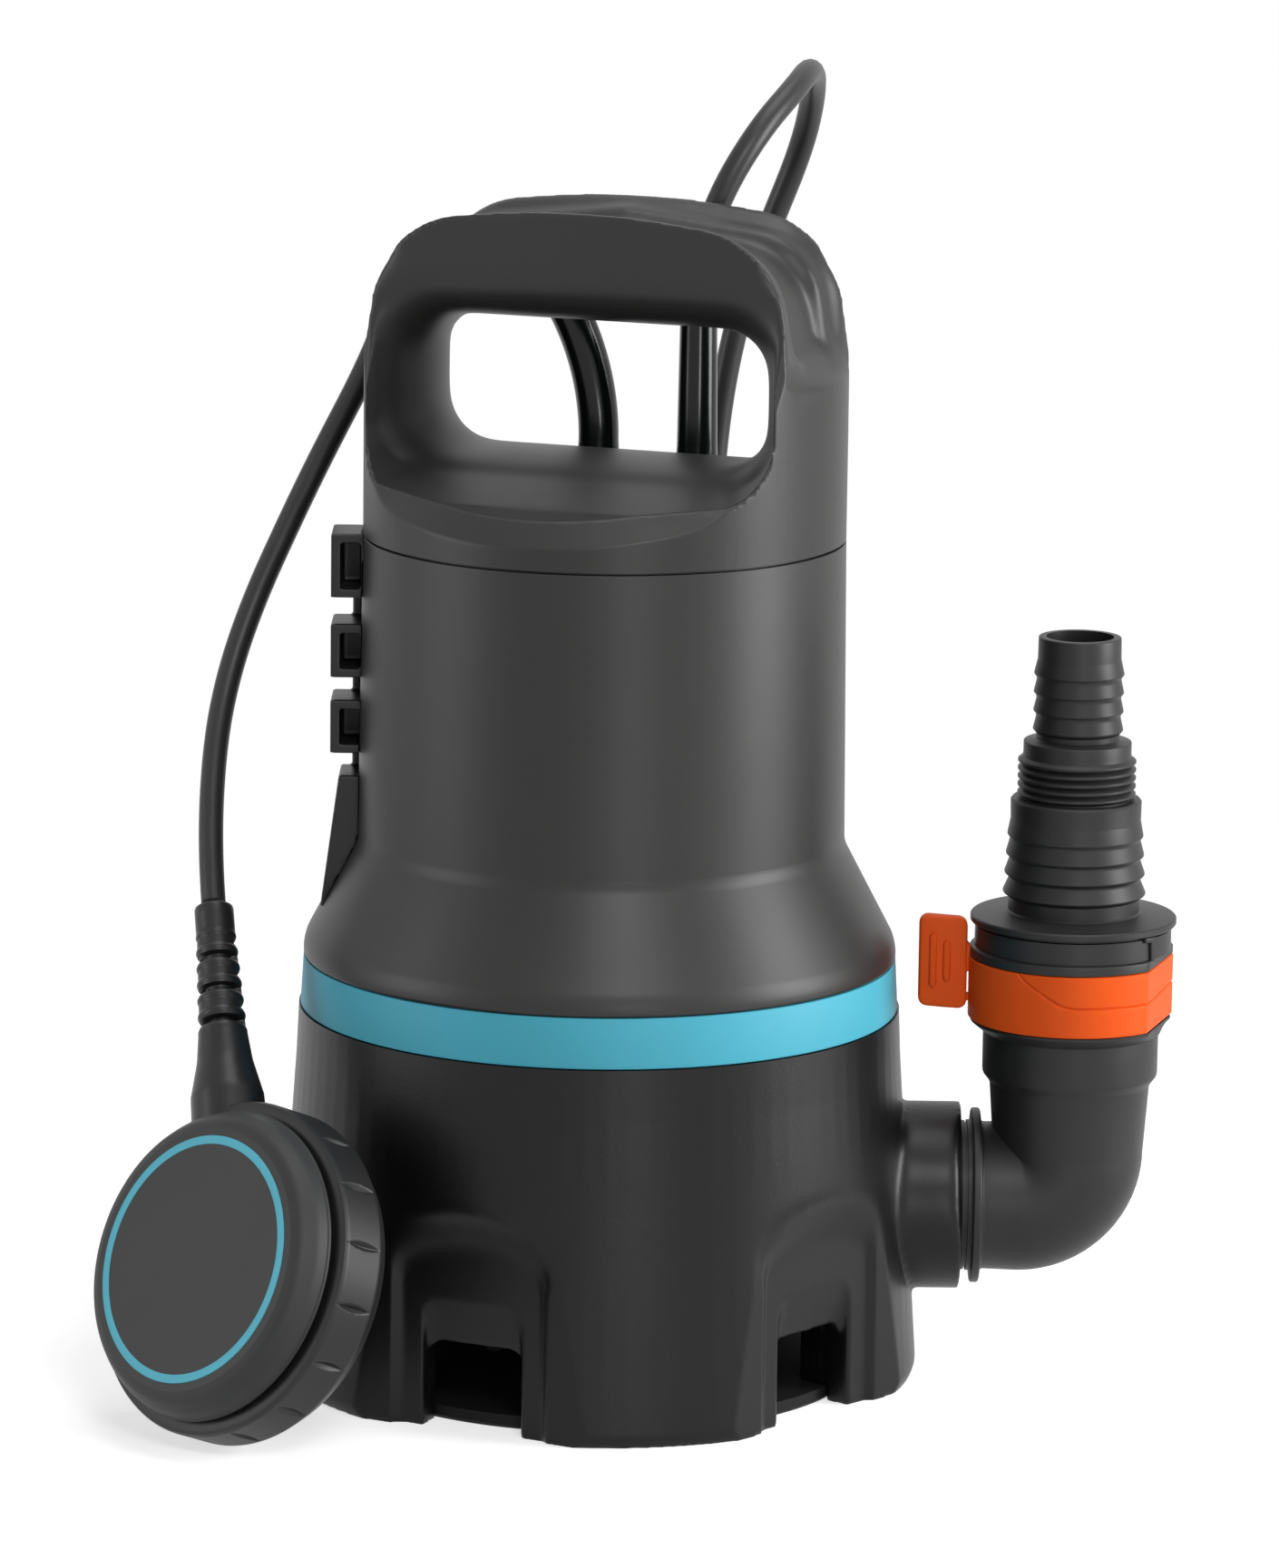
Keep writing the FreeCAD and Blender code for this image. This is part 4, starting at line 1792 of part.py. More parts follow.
def make_float_cable():
    """Float cable from its sleeve, round the back of the handle and down to the float's boot."""
    turn = FreeCAD.Rotation(V(0, 0, 1), float(s.handle_turn))
    angle = math.radians(float(s.float_gland_angle))
    bend = float(s.float_gland_curve)
    tip = V(-float(s.gland_spacing) / 2 - bend * (1 - math.cos(angle)), float(s.gland_back),
            float(s.float_gland_bend) + bend * math.sin(angle))
    leaving = turn.multVec(V(-math.sin(angle), 0, math.cos(angle)))
    start = turn.multVec(tip)
    frame = float_frame()
    end = frame.multVec(V(0, float(s.boot_end), 0))
    arriving = frame.Rotation.multVec(V(0, 1, 0))
    points = [
        start,
        start + leaving * 8,
        V(-29, 48.5, 314),
        V(-41, 54.5, 314.5),
        V(-53, 57, 308),
        V(-61.5, 54, 295),
        V(-68.5, 50.5, 277),
        V(-81, 45, 253),
        V(-90.5, 40.5, 233),
        V(-99.5, 34, 213),
        V(-106, 25.5, 194),
        V(-109.5, 14, 175),
        end + arriving * 18,
        end,
    ]
    return cord("float_cable", points, float(s.float_cable_diameter))


def mains_points(coil_point, heading):
    """Mains cable from its sleeve, up in a loop over the handle and down behind the pump."""
    turn = FreeCAD.Rotation(V(0, 0, 1), float(s.handle_turn))
    start = turn.multVec(V(float(s.gland_spacing) / 2, float(s.gland_back), float(s.mains_gland_top)))
    return [
        start,
        start + V(0, 0, 14),
        V(31.5, 26, 332),
        V(42, 32, 349),
        V(52.5, 47.5, 359.5),
        V(57, 69, 363),
        V(58.5, 89.5, 354.5),
        V(55.5, 104.5, 336),
        V(45.5, 108, 310),
        V(38, 106, 288),
        V(33, 106, 263),
        V(30.5, 106, 236),
        V(30, 106, 206),
        V(31, 104, 176),
        V(33, 101.5, 147),
        V(35.5, 99.5, 118),
        V(37.5, 98.5, 90),
        V(38.5, 98, 61),
        V(38.5, 98, 29),
        V(53, 115.5, coil_point.z),
        V(78, 144, coil_point.z),
        coil_point - heading * 22,
        coil_point,
    ]


def coil_place(turns):
    """Point of the coil's centre line after this many turns from its outer end."""
    pitch = float(s.mains_diameter + s.coil_gap)
    per_layer = float(s.coil_turns)
    layers = int(float(s.coil_layers))
    outer = coil_outer_radius()
    layer = turns / per_layer
    nearest = min(range(layers + 1), key=lambda k: abs(layer - k))
    swing = layer % 2
    inward = swing if swing <= 1 else 2 - swing
    radius = outer - inward * per_layer * pitch
    climb = (turns - nearest * per_layer) / 0.5
    height = min(int(layer), layers - 1)
    if 0 < nearest < layers and abs(climb) < 0.5:
        height = nearest - 0.5 + climb
    angle = math.radians(float(s.coil_start)) + 2 * math.pi * turns
    z = float(s.coil_lift) + float(s.mains_diameter) / 2 + height * pitch
    return V(radius * math.cos(angle), float(s.coil_back) + radius * math.sin(angle), z)


def coil_outer_radius():
    """Outer radius of the centre line that puts the rest of the cable into the coil."""
    turns = float(s.coil_turns) * float(s.coil_layers)
    width = float(s.coil_turns) * float(s.mains_diameter + s.coil_gap)
    return float(s.mains_length - s.loose_length) / (2 * math.pi * turns) + width / 2


def coil_heading(turns):
    """Direction of the coil's centre line, level at its two ends."""
    step = 1e-4
    ahead, behind = min(turns + step, coil_length_in_turns()), max(turns - step, 0)
    direction = coil_place(ahead) - coil_place(behind)
    if ahead - behind < 1.5 * step:
        angle = math.radians(float(s.coil_start)) + 2 * math.pi * turns
        direction = V(-math.sin(angle), math.cos(angle), 0)
    return direction.normalize()


def coil_length_in_turns():
    return float(s.coil_turns) * float(s.coil_layers)


def biarc(start, leaving, end, arriving):
    """Two tangent arcs from one point and direction to another."""
    chord = end - start
    both = leaving + arriving
    a = both.dot(both) - 4
    b = -2 * chord.dot(both)
    c = chord.dot(chord)
    reach = (-b - math.sqrt(b * b - 4 * a * c)) / (2 * a)
    first, second = start + leaving * reach, end - arriving * reach
    meet = (first + second) / 2
    arcs = []
    for begin, corner, finish in ((start, first, meet), (meet, second, end)):
        middle = (begin + finish) / 2
        height = (corner - middle).Length
        half = (finish - begin).Length / 2
        sagitta = half * math.tan(math.atan2(height, half) / 2)
        arcs.append(Part.Arc(begin, middle + (corner - middle).normalize() * sagitta, finish).toShape())
    return arcs


def make_coil():
    """Rest of the mains cable, wound in a round coil of four layers that spiral in and out."""
    diameter = float(s.mains_diameter)
    total = coil_length_in_turns()
    quarters = round(4 * total)
    stops = [total * index / quarters for index in range(quarters + 1)]
    points = [coil_place(stop) for stop in stops]
    directions = [coil_heading(stop) for stop in stops]
    edges = [Part.LineSegment(points[0] - directions[0] * diameter, points[0]).toShape()]
    for index in range(quarters):
        edges += biarc(points[index], directions[index], points[index + 1], directions[index + 1])
    edges.append(Part.LineSegment(points[-1], points[-1] + directions[-1] * diameter).toShape())
    wire = Part.Wire(edges)
    shape = sweep(wire, diameter)
    print("mains_coil: length %.0f, volume %.0f against %.0f"
          % (wire.Length, shape.Volume, math.pi * diameter ** 2 / 4 * wire.Length))
    print("mains_coil: least gap to itself %.2f" % (least_gap(total) - diameter))
    obj = doc.addObject("Part::Feature", "mains_coil")
    obj.Shape = shape
    return obj


def least_gap(total):
    """Least distance between passes of the coil's centre line, half a turn or more apart."""
    per_turn = 24
    points = [coil_place(index / per_turn) for index in range(int(per_turn * total) + 1)]
    least = 1e9
    for index, point in enumerate(points):
        for other in points[index + per_turn // 2:]:
            least = min(least, point.distanceToPoint(other))
    return least


def make_tie():
    """Strap round the coil on its far side from the pump."""
    pitch = float(s.mains_diameter + s.coil_gap)
    outer = coil_outer_radius() + float(s.mains_diameter) / 2 + 1.5
    inner = coil_outer_radius() - float(s.coil_turns) * pitch - float(s.mains_diameter) / 2 - 1.5
    thick = float(s.tie_thickness)
    high = float(s.coil_lift) + float(s.mains_diameter) + (float(s.coil_layers) - 1) * pitch + 0.3
    depth, width = outer - inner, float(s.tie_width)
    y = float(s.coil_back) + inner
    outside = Part.makeBox(width, depth + 2 * thick, high + thick - 0.1, V(-width / 2, y - thick, 0.1))
    inside = Part.makeBox(width + 2, depth, high - 0.1 - thick, V(-width / 2 - 1, y, 0.1 + thick))
    obj = doc.addObject("Part::Feature", "coil_tie")
    obj.Shape = outside.cut(inside)
    return obj


def make_tail_and_plug():
    """Last stretch of the mains cable and the plug that lies beside the coil."""
    diameter = float(s.mains_diameter)
    total = coil_length_in_turns()
    aim = coil_heading(total)
    outward = V(aim.y, -aim.x, 0)
    start = coil_place(total) + aim * diameter
    neck = start + aim * float(s.tail_length) + outward * 12
    neck.z = float(s.plug_body_radius) + 0.2
    away = aim * 0.8 + outward * 0.6
    points = [
        start,
        start + aim * 13,
        start + aim * 31 + outward * 0.5 + V(0, 0, -1.8),
        start + aim * 49 + outward * 1 + V(0, 0, -6),
        neck - away * 16,
        neck,
    ]
    tail = cord("mains_tail", points, diameter)
    turn = FreeCAD.Rotation(V(0, 0, 1), away)
    length = float(s.plug_length)
    grip = Part.makeCone(float(s.plug_neck_radius), float(s.plug_waist_radius), length * 0.5)
    waist = float(s.plug_waist_radius)
    flare = Part.makeCone(waist, float(s.plug_body_radius), length * 0.25, V(0, 0, length * 0.5))
    face = Part.makeCylinder(float(s.plug_body_radius), length * 0.25, V(0, 0, length * 0.75))
    body = doc.addObject("Part::Feature", "mains_plug")
    body.Shape = grip.fuse([flare, face]).removeSplitter()
    body.Placement = FreeCAD.Placement(neck, turn)
    pins = []
    for side in (-1, 1):
        place = V(side * float(s.pin_spacing) / 2, 0, length)
        straight = Part.makeCylinder(float(s.pin_radius), float(s.pin_length) - 2, place)
        tip = Part.makeSphere(float(s.pin_radius), place + V(0, 0, float(s.pin_length) - 2))
        pins.append(straight.fuse(tip))
    pin_pair = doc.addObject("Part::Feature", "plug_pins")
    pin_pair.Shape = Part.makeCompound(pins)
    pin_pair.Placement = FreeCAD.Placement(neck, turn)
    return tail, body, pin_pair


# Everything together

def build():
    nodes = {}
    nodes["pump_base"] = make_base()
    nodes["base_plate"] = make_base_plate()
    nodes["base_screws"] = make_base_screws()
    nodes["trim_ring"] = make_trim_ring()
    nodes["motor_housing"] = make_housing()
    nodes["clip_rail"] = make_clip_rail(make_envelope())
    nodes["handle_cap"] = make_cap()
    nodes["mains_gland"], nodes["float_gland"] = make_glands()
    nodes["cable_clamp"], nodes["clamp_screws"] = make_clamp()
    nodes["volute_casing"] = make_volute_casing()
    nodes["pump_cover"] = make_pump_cover()
    nodes["lower_shaft_seal"] = lip_seal("lower_shaft_seal", s.hub_bottom + 0.5)
    nodes["upper_shaft_seal"] = lip_seal("upper_shaft_seal", s.oil_top + 0.5)
    for name, bottom in (("lower_bearing", s.lower_bearing), ("upper_bearing", s.upper_bearing)):
        inner, outer, balls = bearing(name, bottom)
        nodes[name + "_inner_race"] = inner
        nodes[name + "_outer_race"] = outer
        nodes[name + "_balls"] = balls
    nodes["motor_shaft"] = make_shaft()
    nodes["impeller"] = make_impeller()
    nodes["impeller_nut"] = make_impeller_nut()
    core_top = s.core_bottom + s.core_height
    low = s.core_bottom
    nodes["rotor_core"] = plain_ring("rotor_core", s.shaft_radius, s.rotor_radius, low, s.core_height)
    for name, bottom in (("upper", core_top), ("lower", s.core_bottom - s.end_ring_height)):
        label = "rotor_%s_end_ring" % name
        nodes[label] = plain_ring(label, s.end_ring_inner, s.rotor_radius - 1, bottom, s.end_ring_height)
    nodes["stator_core"] = make_stator()
    for name, bottom in (("upper", core_top), ("lower", s.core_bottom - s.winding_height)):
        label = "%s_winding" % name
        nodes[label] = plain_ring(
            label, s.winding_inner, s.winding_outer, bottom, s.winding_height, s.winding_round)
    low = s.cover_seat + s.cover_thickness
    inner = s.can_radius - s.can_wall
    nodes["motor_can"] = plain_ring("motor_can", inner, s.can_radius, low, s.can_top - low)
    nodes["upper_bracket"] = make_bracket()
    nodes["tie_rods"] = make_tie_rods()
    nodes["start_capacitor"], nodes["terminal_block"], nodes["thermal_cutout"] = make_electrics()
    nodes["outlet_elbow"] = make_elbow()
    nodes["elbow_seal"] = make_elbow_seal()
    nodes["lock_collar"] = make_collar()
    nodes["hose_connector"] = make_connector()
    nodes["connector_seal"] = make_connector_seal()
    nodes["float_front_shell"] = in_float(make_front_shell())
    nodes["float_rear_shell"] = in_float(make_rear_shell())
    nodes["float_face_ring"] = in_float(make_face_ring())
    nodes["float_boot"] = in_float(make_boot())
    tube, switch, steel = make_float_inside()
    nodes["switch_ball_tube"] = in_float_group(tube)
    nodes["float_micro_switch"] = in_float_group(switch)
    nodes["switch_ball"] = in_float_group(steel)
    nodes["float_cable"] = make_float_cable()
    heading = coil_heading(0)
    route = mains_points(coil_place(0) - heading * float(s.mains_diameter), heading)
    nodes["mains_cable"] = cord("mains_cable", route, float(s.mains_diameter))
    nodes["mains_coil"] = make_coil()
    nodes["coil_tie"] = make_tie()
    nodes["mains_tail"], nodes["mains_plug"], nodes["plug_pins"] = make_tail_and_plug()
    return nodes


def in_float_group(obj):
    """As in_float, for a primitive that already has a place in the float's frame."""
    holder = doc.addObject("Part::Compound", obj.Name + "_in_float")
    holder.Links = [obj]
    return in_float(holder)


def check(nodes):
    for obj in doc.Objects:
        if "Invalid" in obj.State or "Error" in obj.State:
            raise RuntimeError("%s failed: %s" % (obj.Label, obj.State))
    for label, obj in nodes.items():
        if obj.Shape.isNull() or not obj.Shape.isValid() or not obj.Shape.Solids:
            raise RuntimeError("%s has no valid solid" % label)


def main():
    nodes = build()
    doc.recompute()
    for label, obj in nodes.items():
        obj.Label = label
    check(nodes)
    os.makedirs("parts", exist_ok=True)
    for label, obj in nodes.items():
        obj.Shape.exportStep("parts/%s.step" % label)
    print("%d sub-parts written" % len(nodes))


main()
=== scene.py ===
"""Submersible sump pump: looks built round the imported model, in metres.

Sizes are written in millimetres, as on the part's own drawing, and MM brings them to metres.
"""
import math

import bmesh
import bpy
from mathutils import Matrix, Vector


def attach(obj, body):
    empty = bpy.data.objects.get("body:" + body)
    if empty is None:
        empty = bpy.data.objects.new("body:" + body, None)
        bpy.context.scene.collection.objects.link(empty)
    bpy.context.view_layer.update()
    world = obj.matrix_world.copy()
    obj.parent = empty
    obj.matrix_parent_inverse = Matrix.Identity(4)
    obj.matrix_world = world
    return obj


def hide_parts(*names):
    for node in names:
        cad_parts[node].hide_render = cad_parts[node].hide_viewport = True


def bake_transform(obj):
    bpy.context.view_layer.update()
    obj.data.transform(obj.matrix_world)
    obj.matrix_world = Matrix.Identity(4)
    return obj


MM = 0.001

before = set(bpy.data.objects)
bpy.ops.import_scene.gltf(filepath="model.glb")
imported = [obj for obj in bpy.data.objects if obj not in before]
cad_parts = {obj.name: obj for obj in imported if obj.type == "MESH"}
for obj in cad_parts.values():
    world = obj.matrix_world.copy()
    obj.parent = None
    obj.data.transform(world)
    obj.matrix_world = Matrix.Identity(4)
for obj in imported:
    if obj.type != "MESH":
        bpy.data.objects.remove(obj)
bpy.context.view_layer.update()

# Camera at the photograph's angle

CAMERA_PLACE = (10.598, -2038.547, 572.269)
CAMERA_PITCH = 11.229
CAMERA_ROLL = 0.754
CAMERA_LENS = 169.904


def set_camera():
    data = bpy.data.cameras.new("studio_camera")
    data.lens = CAMERA_LENS
    data.sensor_width = 36
    data.clip_start = 0.1
    data.clip_end = 20
    camera = bpy.data.objects.new("studio_camera", data)
    bpy.context.scene.collection.objects.link(camera)
    tilt = Matrix.Rotation(math.radians(90 - CAMERA_PITCH), 4, "X")
    roll = Matrix.Rotation(math.radians(CAMERA_ROLL), 4, "Z")
    camera.matrix_world = Matrix.Translation(Vector(CAMERA_PLACE) * MM) @ tilt @ roll
    bpy.context.scene.camera = camera


set_camera()

# Node groups shared by the materials


def socket(tree, name, kind, side, value=None):
    made = tree.interface.new_socket(name=name, in_out=side, socket_type=kind)
    if value is not None:
        made.default_value = value
    return made


def node(tree, kind, **settings):
    made = tree.nodes.new(kind)
    for name, value in settings.items():
        if name in made.inputs:
            made.inputs[name].default_value = value
        else:
            setattr(made, name, value)
    return made


def new_group(name, inputs, outputs):
    """An empty node group with named sockets; returns it with its two end nodes."""
    tree = bpy.data.node_groups.new(name, "ShaderNodeTree")
    for label, kind, value in inputs:
        socket(tree, label, kind, "INPUT", value)
    for label, kind in outputs:
        socket(tree, label, kind, "OUTPUT")
    return tree, tree.nodes.new("NodeGroupInput"), tree.nodes.new("NodeGroupOutput")


def link(tree, source, out, target, into):
    tree.links.new(source.outputs[out], target.inputs[into])


def make_tone_group():
    """Slight cloudiness of a moulded colour."""
    tree, start, end = new_group(
        "moulded_tone",
        [
            ("Colour", "NodeSocketColor", (0.05, 0.05, 0.05, 1)),
            ("Spread", "NodeSocketFloat", 0.1),
            ("Scale", "NodeSocketFloat", 30.0),
        ],
        [("Colour", "NodeSocketColor")],
    )
    place = node(tree, "ShaderNodeTexCoord")
    cloud = node(tree, "ShaderNodeTexNoise", Detail=3.0, Roughness=0.55)
    low = node(tree, "ShaderNodeMath", operation="SUBTRACT")
    low.inputs[0].default_value = 1.0
    high = node(tree, "ShaderNodeMath", operation="ADD")
    high.inputs[0].default_value = 1.0
    spread = node(tree, "ShaderNodeMapRange")
    spread.inputs["From Min"].default_value = 0.3
    spread.inputs["From Max"].default_value = 0.7
    shade = node(tree, "ShaderNodeVectorMath", operation="SCALE")
    link(tree, place, "Object", cloud, "Vector")
    link(tree, start, "Scale", cloud, "Scale")
    tree.links.new(start.outputs["Spread"], low.inputs[1])
    tree.links.new(start.outputs["Spread"], high.inputs[1])
    link(tree, cloud, "Fac", spread, "Value")
    tree.links.new(low.outputs[0], spread.inputs["To Min"])
    tree.links.new(high.outputs[0], spread.inputs["To Max"])
    tree.links.new(start.outputs["Colour"], shade.inputs[0])
    tree.links.new(spread.outputs["Result"], shade.inputs["Scale"])
    tree.links.new(shade.outputs["Vector"], end.inputs["Colour"])
    return tree


def make_sheen_group():
    """Roughness that wanders a little, as on moulded plastic that has been handled."""
    tree, start, end = new_group(
        "handled_sheen",
        [
            ("Roughness", "NodeSocketFloat", 0.45),
            ("Spread", "NodeSocketFloat", 0.05),
            ("Scale", "NodeSocketFloat", 40.0),
        ],
        [("Roughness", "NodeSocketFloat")],
    )
    place = node(tree, "ShaderNodeTexCoord")
    cloud = node(tree, "ShaderNodeTexNoise", Detail=4.0, Roughness=0.6)
    centred = node(tree, "ShaderNodeMath", operation="SUBTRACT")
    centred.inputs[1].default_value = 0.5
    spread = node(tree, "ShaderNodeMath", operation="MULTIPLY_ADD")
    link(tree, place, "Object", cloud, "Vector")
    link(tree, start, "Scale", cloud, "Scale")
    tree.links.new(cloud.outputs["Fac"], centred.inputs[0])
    tree.links.new(centred.outputs[0], spread.inputs[0])
    tree.links.new(start.outputs["Spread"], spread.inputs[1])
    tree.links.new(start.outputs["Roughness"], spread.inputs[2])
    tree.links.new(spread.outputs[0], end.inputs["Roughness"])
    return tree


def make_grain_group():
    """Fine spark-eroded grain, as a height for a bump."""
    tree, start, end = new_group(
        "moulded_grain",
        [
            ("Scale", "NodeSocketFloat", 1400.0),
            ("Coarse", "NodeSocketFloat", 0.3),
        ],
        [("Height", "NodeSocketFloat")],
    )
    place = node(tree, "ShaderNodeTexCoord")
    fine = node(tree, "ShaderNodeTexNoise", Detail=2.0, Roughness=0.5)
    pits = node(tree, "ShaderNodeTexVoronoi", feature="F1")
    blend = node(tree, "ShaderNodeMix", data_type="FLOAT")
    link(tree, place, "Object", fine, "Vector")
    link(tree, place, "Object", pits, "Vector")
    link(tree, start, "Scale", fine, "Scale")
    link(tree, start, "Scale", pits, "Scale")
    tree.links.new(start.outputs["Coarse"], blend.inputs[0])
    tree.links.new(fine.outputs["Fac"], blend.inputs[2])
    tree.links.new(pits.outputs["Distance"], blend.inputs[3])
    tree.links.new(blend.outputs[0], end.inputs["Height"])
    return tree


TONE = make_tone_group()
SHEEN = make_sheen_group()
GRAIN = make_grain_group()


def use(tree, group, **values):
    made = tree.nodes.new("ShaderNodeGroup")
    made.node_tree = group
    for name, value in values.items():
        made.inputs[name].default_value = value
    return made


def moulded(name, colour, roughness, tone=0.08, sheen=0.06, grain=0.25, grain_scale=1400.0, depth=0.05,
            metallic=0.0, coat=0.0, specular=0.3):
    """A procedural material: cloudy colour, wandering roughness and fine grain."""
    material = bpy.data.materials.new(name)
    material.use_nodes = True
    tree = material.node_tree
    shader = tree.nodes["Principled BSDF"]
    shader.inputs["Metallic"].default_value = metallic
    shader.inputs["Coat Weight"].default_value = coat
    shader.inputs["Coat Roughness"].default_value = 0.2
    shader.inputs["Specular IOR Level"].default_value = specular
    cloud = use(tree, TONE, Colour=(*colour, 1), Spread=tone, Scale=25.0)
    gloss = use(tree, SHEEN, Roughness=roughness, Spread=sheen, Scale=35.0)
    texture = use(tree, GRAIN, Scale=grain_scale, Coarse=0.35)
    bump = node(tree, "ShaderNodeBump", Strength=grain)
    bump.inputs["Distance"].default_value = depth * MM
    link(tree, cloud, "Colour", shader, "Base Color")
    link(tree, gloss, "Roughness", shader, "Roughness")
    link(tree, texture, "Height", bump, "Height")
    link(tree, bump, "Normal", shader, "Normal")
    material.diffuse_color = (*colour, 1)
    return material


HOUSING_GREY = moulded("housing_grey", (0.0165, 0.0163, 0.0159), 0.42, tone=0.06, grain=0.35, specular=0.32)
# The housing's plastic, coloured darker as painted shade for the lower light on the base; its coarser grain
# and gloss are its own.
BASE_GREY_PAINTED_SHADE = moulded(
    "base_grey_painted_shade", (0.002, 0.0021, 0.0021), 0.38, tone=0.1, grain=0.6, grain_scale=900.0, specular=0.25,
)
PLATE_BLACK = moulded("plate_black", (0.004, 0.004, 0.004), 0.7, specular=0.2)
RAIL_BLACK = moulded("rail_black", (0.008, 0.008, 0.009), 0.4)
RING_TEAL = moulded("ring_teal", (0.055, 0.32, 0.42), 0.5, tone=0.03, grain=0.15, specular=0.2)
COLLAR_ORANGE = moulded("collar_orange", (0.66, 0.078, 0.007), 0.5, tone=0.04, grain=0.15, specular=0.12)
FITTING_GREY = moulded("fitting_grey", (0.012, 0.012, 0.012), 0.46, grain=0.3)
FLOAT_GREY = moulded("float_grey", (0.024, 0.0244, 0.0246), 0.5, grain=0.2, specular=0.25)
FLOAT_RIM_GREY = moulded("float_rim_grey", (0.009, 0.009, 0.0094), 0.45, grain=0.25)
FLOAT_RING_BLUE = moulded("float_ring_blue", (0.09, 0.41, 0.52), 0.5, tone=0.03, grain=0.1, specular=0.2)
SLEEVE_RUBBER = moulded("sleeve_rubber", (0.004, 0.005, 0.005), 0.18, tone=0.1, sheen=0.06, grain=0.05)
BOOT_RUBBER = moulded("boot_rubber", (0.011, 0.011, 0.012), 0.36, grain=0.15)
CABLE_RUBBER = moulded("cable_rubber", (0.018, 0.018, 0.019), 0.4, grain=0.12)
PLUG_RUBBER = moulded("plug_rubber", (0.012, 0.012, 0.013), 0.42, grain=0.2)
BRIGHT_STEEL = moulded("bright_steel", (0.62, 0.62, 0.63), 0.25, tone=0.03, grain=0.1, metallic=1.0)
DULL_STEEL = moulded("dull_steel", (0.35, 0.35, 0.36), 0.4, tone=0.05, grain=0.3, metallic=1.0)
CAST_METAL = moulded("cast_metal", (0.6, 0.6, 0.61), 0.38, tone=0.05, grain=0.4, metallic=1.0)
COPPER_WIRE = moulded(
    "copper_wire", (0.5, 0.19, 0.07), 0.3, tone=0.12, grain=0.6, grain_scale=700.0, metallic=0.8,
)
BRASS_PIN = moulded("brass_pin", (0.66, 0.5, 0.22), 0.22, tone=0.03, grain=0.05, metallic=1.0)
PALE_PLASTIC = moulded("pale_plastic", (0.6, 0.59, 0.55), 0.45, tone=0.03, grain=0.15)

# Making pieces


def paint(piece, material):
    piece.data.materials.clear()
    piece.data.materials.append(material)
    return piece


def new_piece(name, mesh, material, body, stands_for=()):
    """An object for a finished mesh that rides on a body and may stand for CAD nodes."""
    piece = bpy.data.objects.new(name, mesh)
    bpy.context.scene.collection.objects.link(piece)
    paint(piece, material)
    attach(piece, body)
    if stands_for:
        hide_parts(*stands_for)
    return piece


def finished_mesh(name, bm, sharp=32.0, turn_out=True):
    """Writes a bmesh given in millimetres to a mesh in metres with its edges split for shading."""
    bmesh.ops.remove_doubles(bm, verts=bm.verts[:], dist=0.002)
    if turn_out:
        bmesh.ops.recalc_face_normals(bm, faces=bm.faces[:])
    bmesh.ops.scale(bm, vec=(MM, MM, MM), verts=bm.verts[:])
    mesh = bpy.data.meshes.new(name)
    bm.to_mesh(mesh)
    bm.free()
    mesh.shade_smooth()
    mesh.set_sharp_from_angle(angle=math.radians(sharp))
    return mesh


def outline(points, rounds, segments):
    """A closed line of (across, height) points in the XZ plane; rounds gives radii by corner index."""
    bm = bmesh.new()
    corners = [bm.verts.new((across, 0, height)) for across, height in points]
    for here, following in zip(corners, corners[1:] + corners[:1]):
        bm.edges.new((here, following))
    for index, radius in sorted(rounds.items()):
        before = Vector(points[index - 1])
        corner = Vector(points[index])
        after = Vector(points[(index + 1) % len(points)])
        bend = (corner - before).angle(after - corner)
        bmesh.ops.bevel(
            bm, geom=[corners[index]], offset=radius * math.tan(bend / 2), offset_type="OFFSET",
            segments=segments, profile=0.5, affect="VERTICES", material=-1,
        )
    return bm


def turned(points, rounds=None, steps=128, segments=4):
    """A closed outline of (radius, height) points turned about Z."""
    bm = outline(points, rounds or {}, segments)
    on_axis = [edge for edge in bm.edges if all(vertex.co.x == 0 for vertex in edge.verts)]
    bmesh.ops.delete(bm, geom=on_axis, context="EDGES")
    bmesh.ops.spin(
        bm, geom=bm.verts[:] + bm.edges[:], cent=(0, 0, 0), axis=(0, 0, 1), dvec=(0, 0, 0),
        angle=math.tau, steps=steps, use_merge=True, use_normal_flip=False, use_duplicate=False,
    )
    return bm


def carve(shell, beyond, radius_at):
    """Brings the points of a turned shell that lie beyond a radius to radius_at(angle, height)."""
    for vertex in shell.verts:
        radius = math.hypot(vertex.co.x, vertex.co.y)
        if radius > beyond:
            angle = math.degrees(math.atan2(vertex.co.y, vertex.co.x))
            change = radius_at(angle, vertex.co.z) / radius
            vertex.co.x *= change
            vertex.co.y *= change


def slab(points, rounds, half_depth, edge):
    """An upright plate from an outline of (x, z) points, its rims softened by edge."""
    bm = outline(points, rounds, 6)
    bmesh.ops.translate(bm, verts=bm.verts[:], vec=(0, -half_depth, 0))
    face = bmesh.ops.contextual_create(bm, geom=bm.edges[:])["faces"]
    grown = bmesh.ops.extrude_face_region(bm, geom=face)["geom"]
    far_side = [item for item in grown if isinstance(item, bmesh.types.BMVert)]
    bmesh.ops.translate(bm, verts=far_side, vec=(0, 2 * half_depth, 0))
    bmesh.ops.recalc_face_normals(bm, faces=bm.faces[:])
    rims = [e for e in bm.edges if abs(e.verts[0].co.y - e.verts[1].co.y) < 0.001]
    bmesh.ops.bevel(
        bm, geom=rims, offset=edge, offset_type="OFFSET",
        segments=3, profile=0.5, affect="EDGES", material=-1,
    )
    return bm


def loose_piece(name, mesh):
    piece = bpy.data.objects.new(name, mesh)
    bpy.context.scene.collection.objects.link(piece)
    return piece


def taken_off(piece):
    """The mesh of a loose piece with its modifiers applied; the piece is then removed."""
    graph = bpy.context.evaluated_depsgraph_get()
    ready = bpy.data.meshes.new_from_object(piece.evaluated_get(graph))
    bpy.data.objects.remove(piece)
    return ready


def soften(piece, passes, group=""):
    modifier = piece.modifiers.new("soften", "SMOOTH")
    modifier.factor = 0.5
    modifier.iterations = passes
    modifier.vertex_group = group


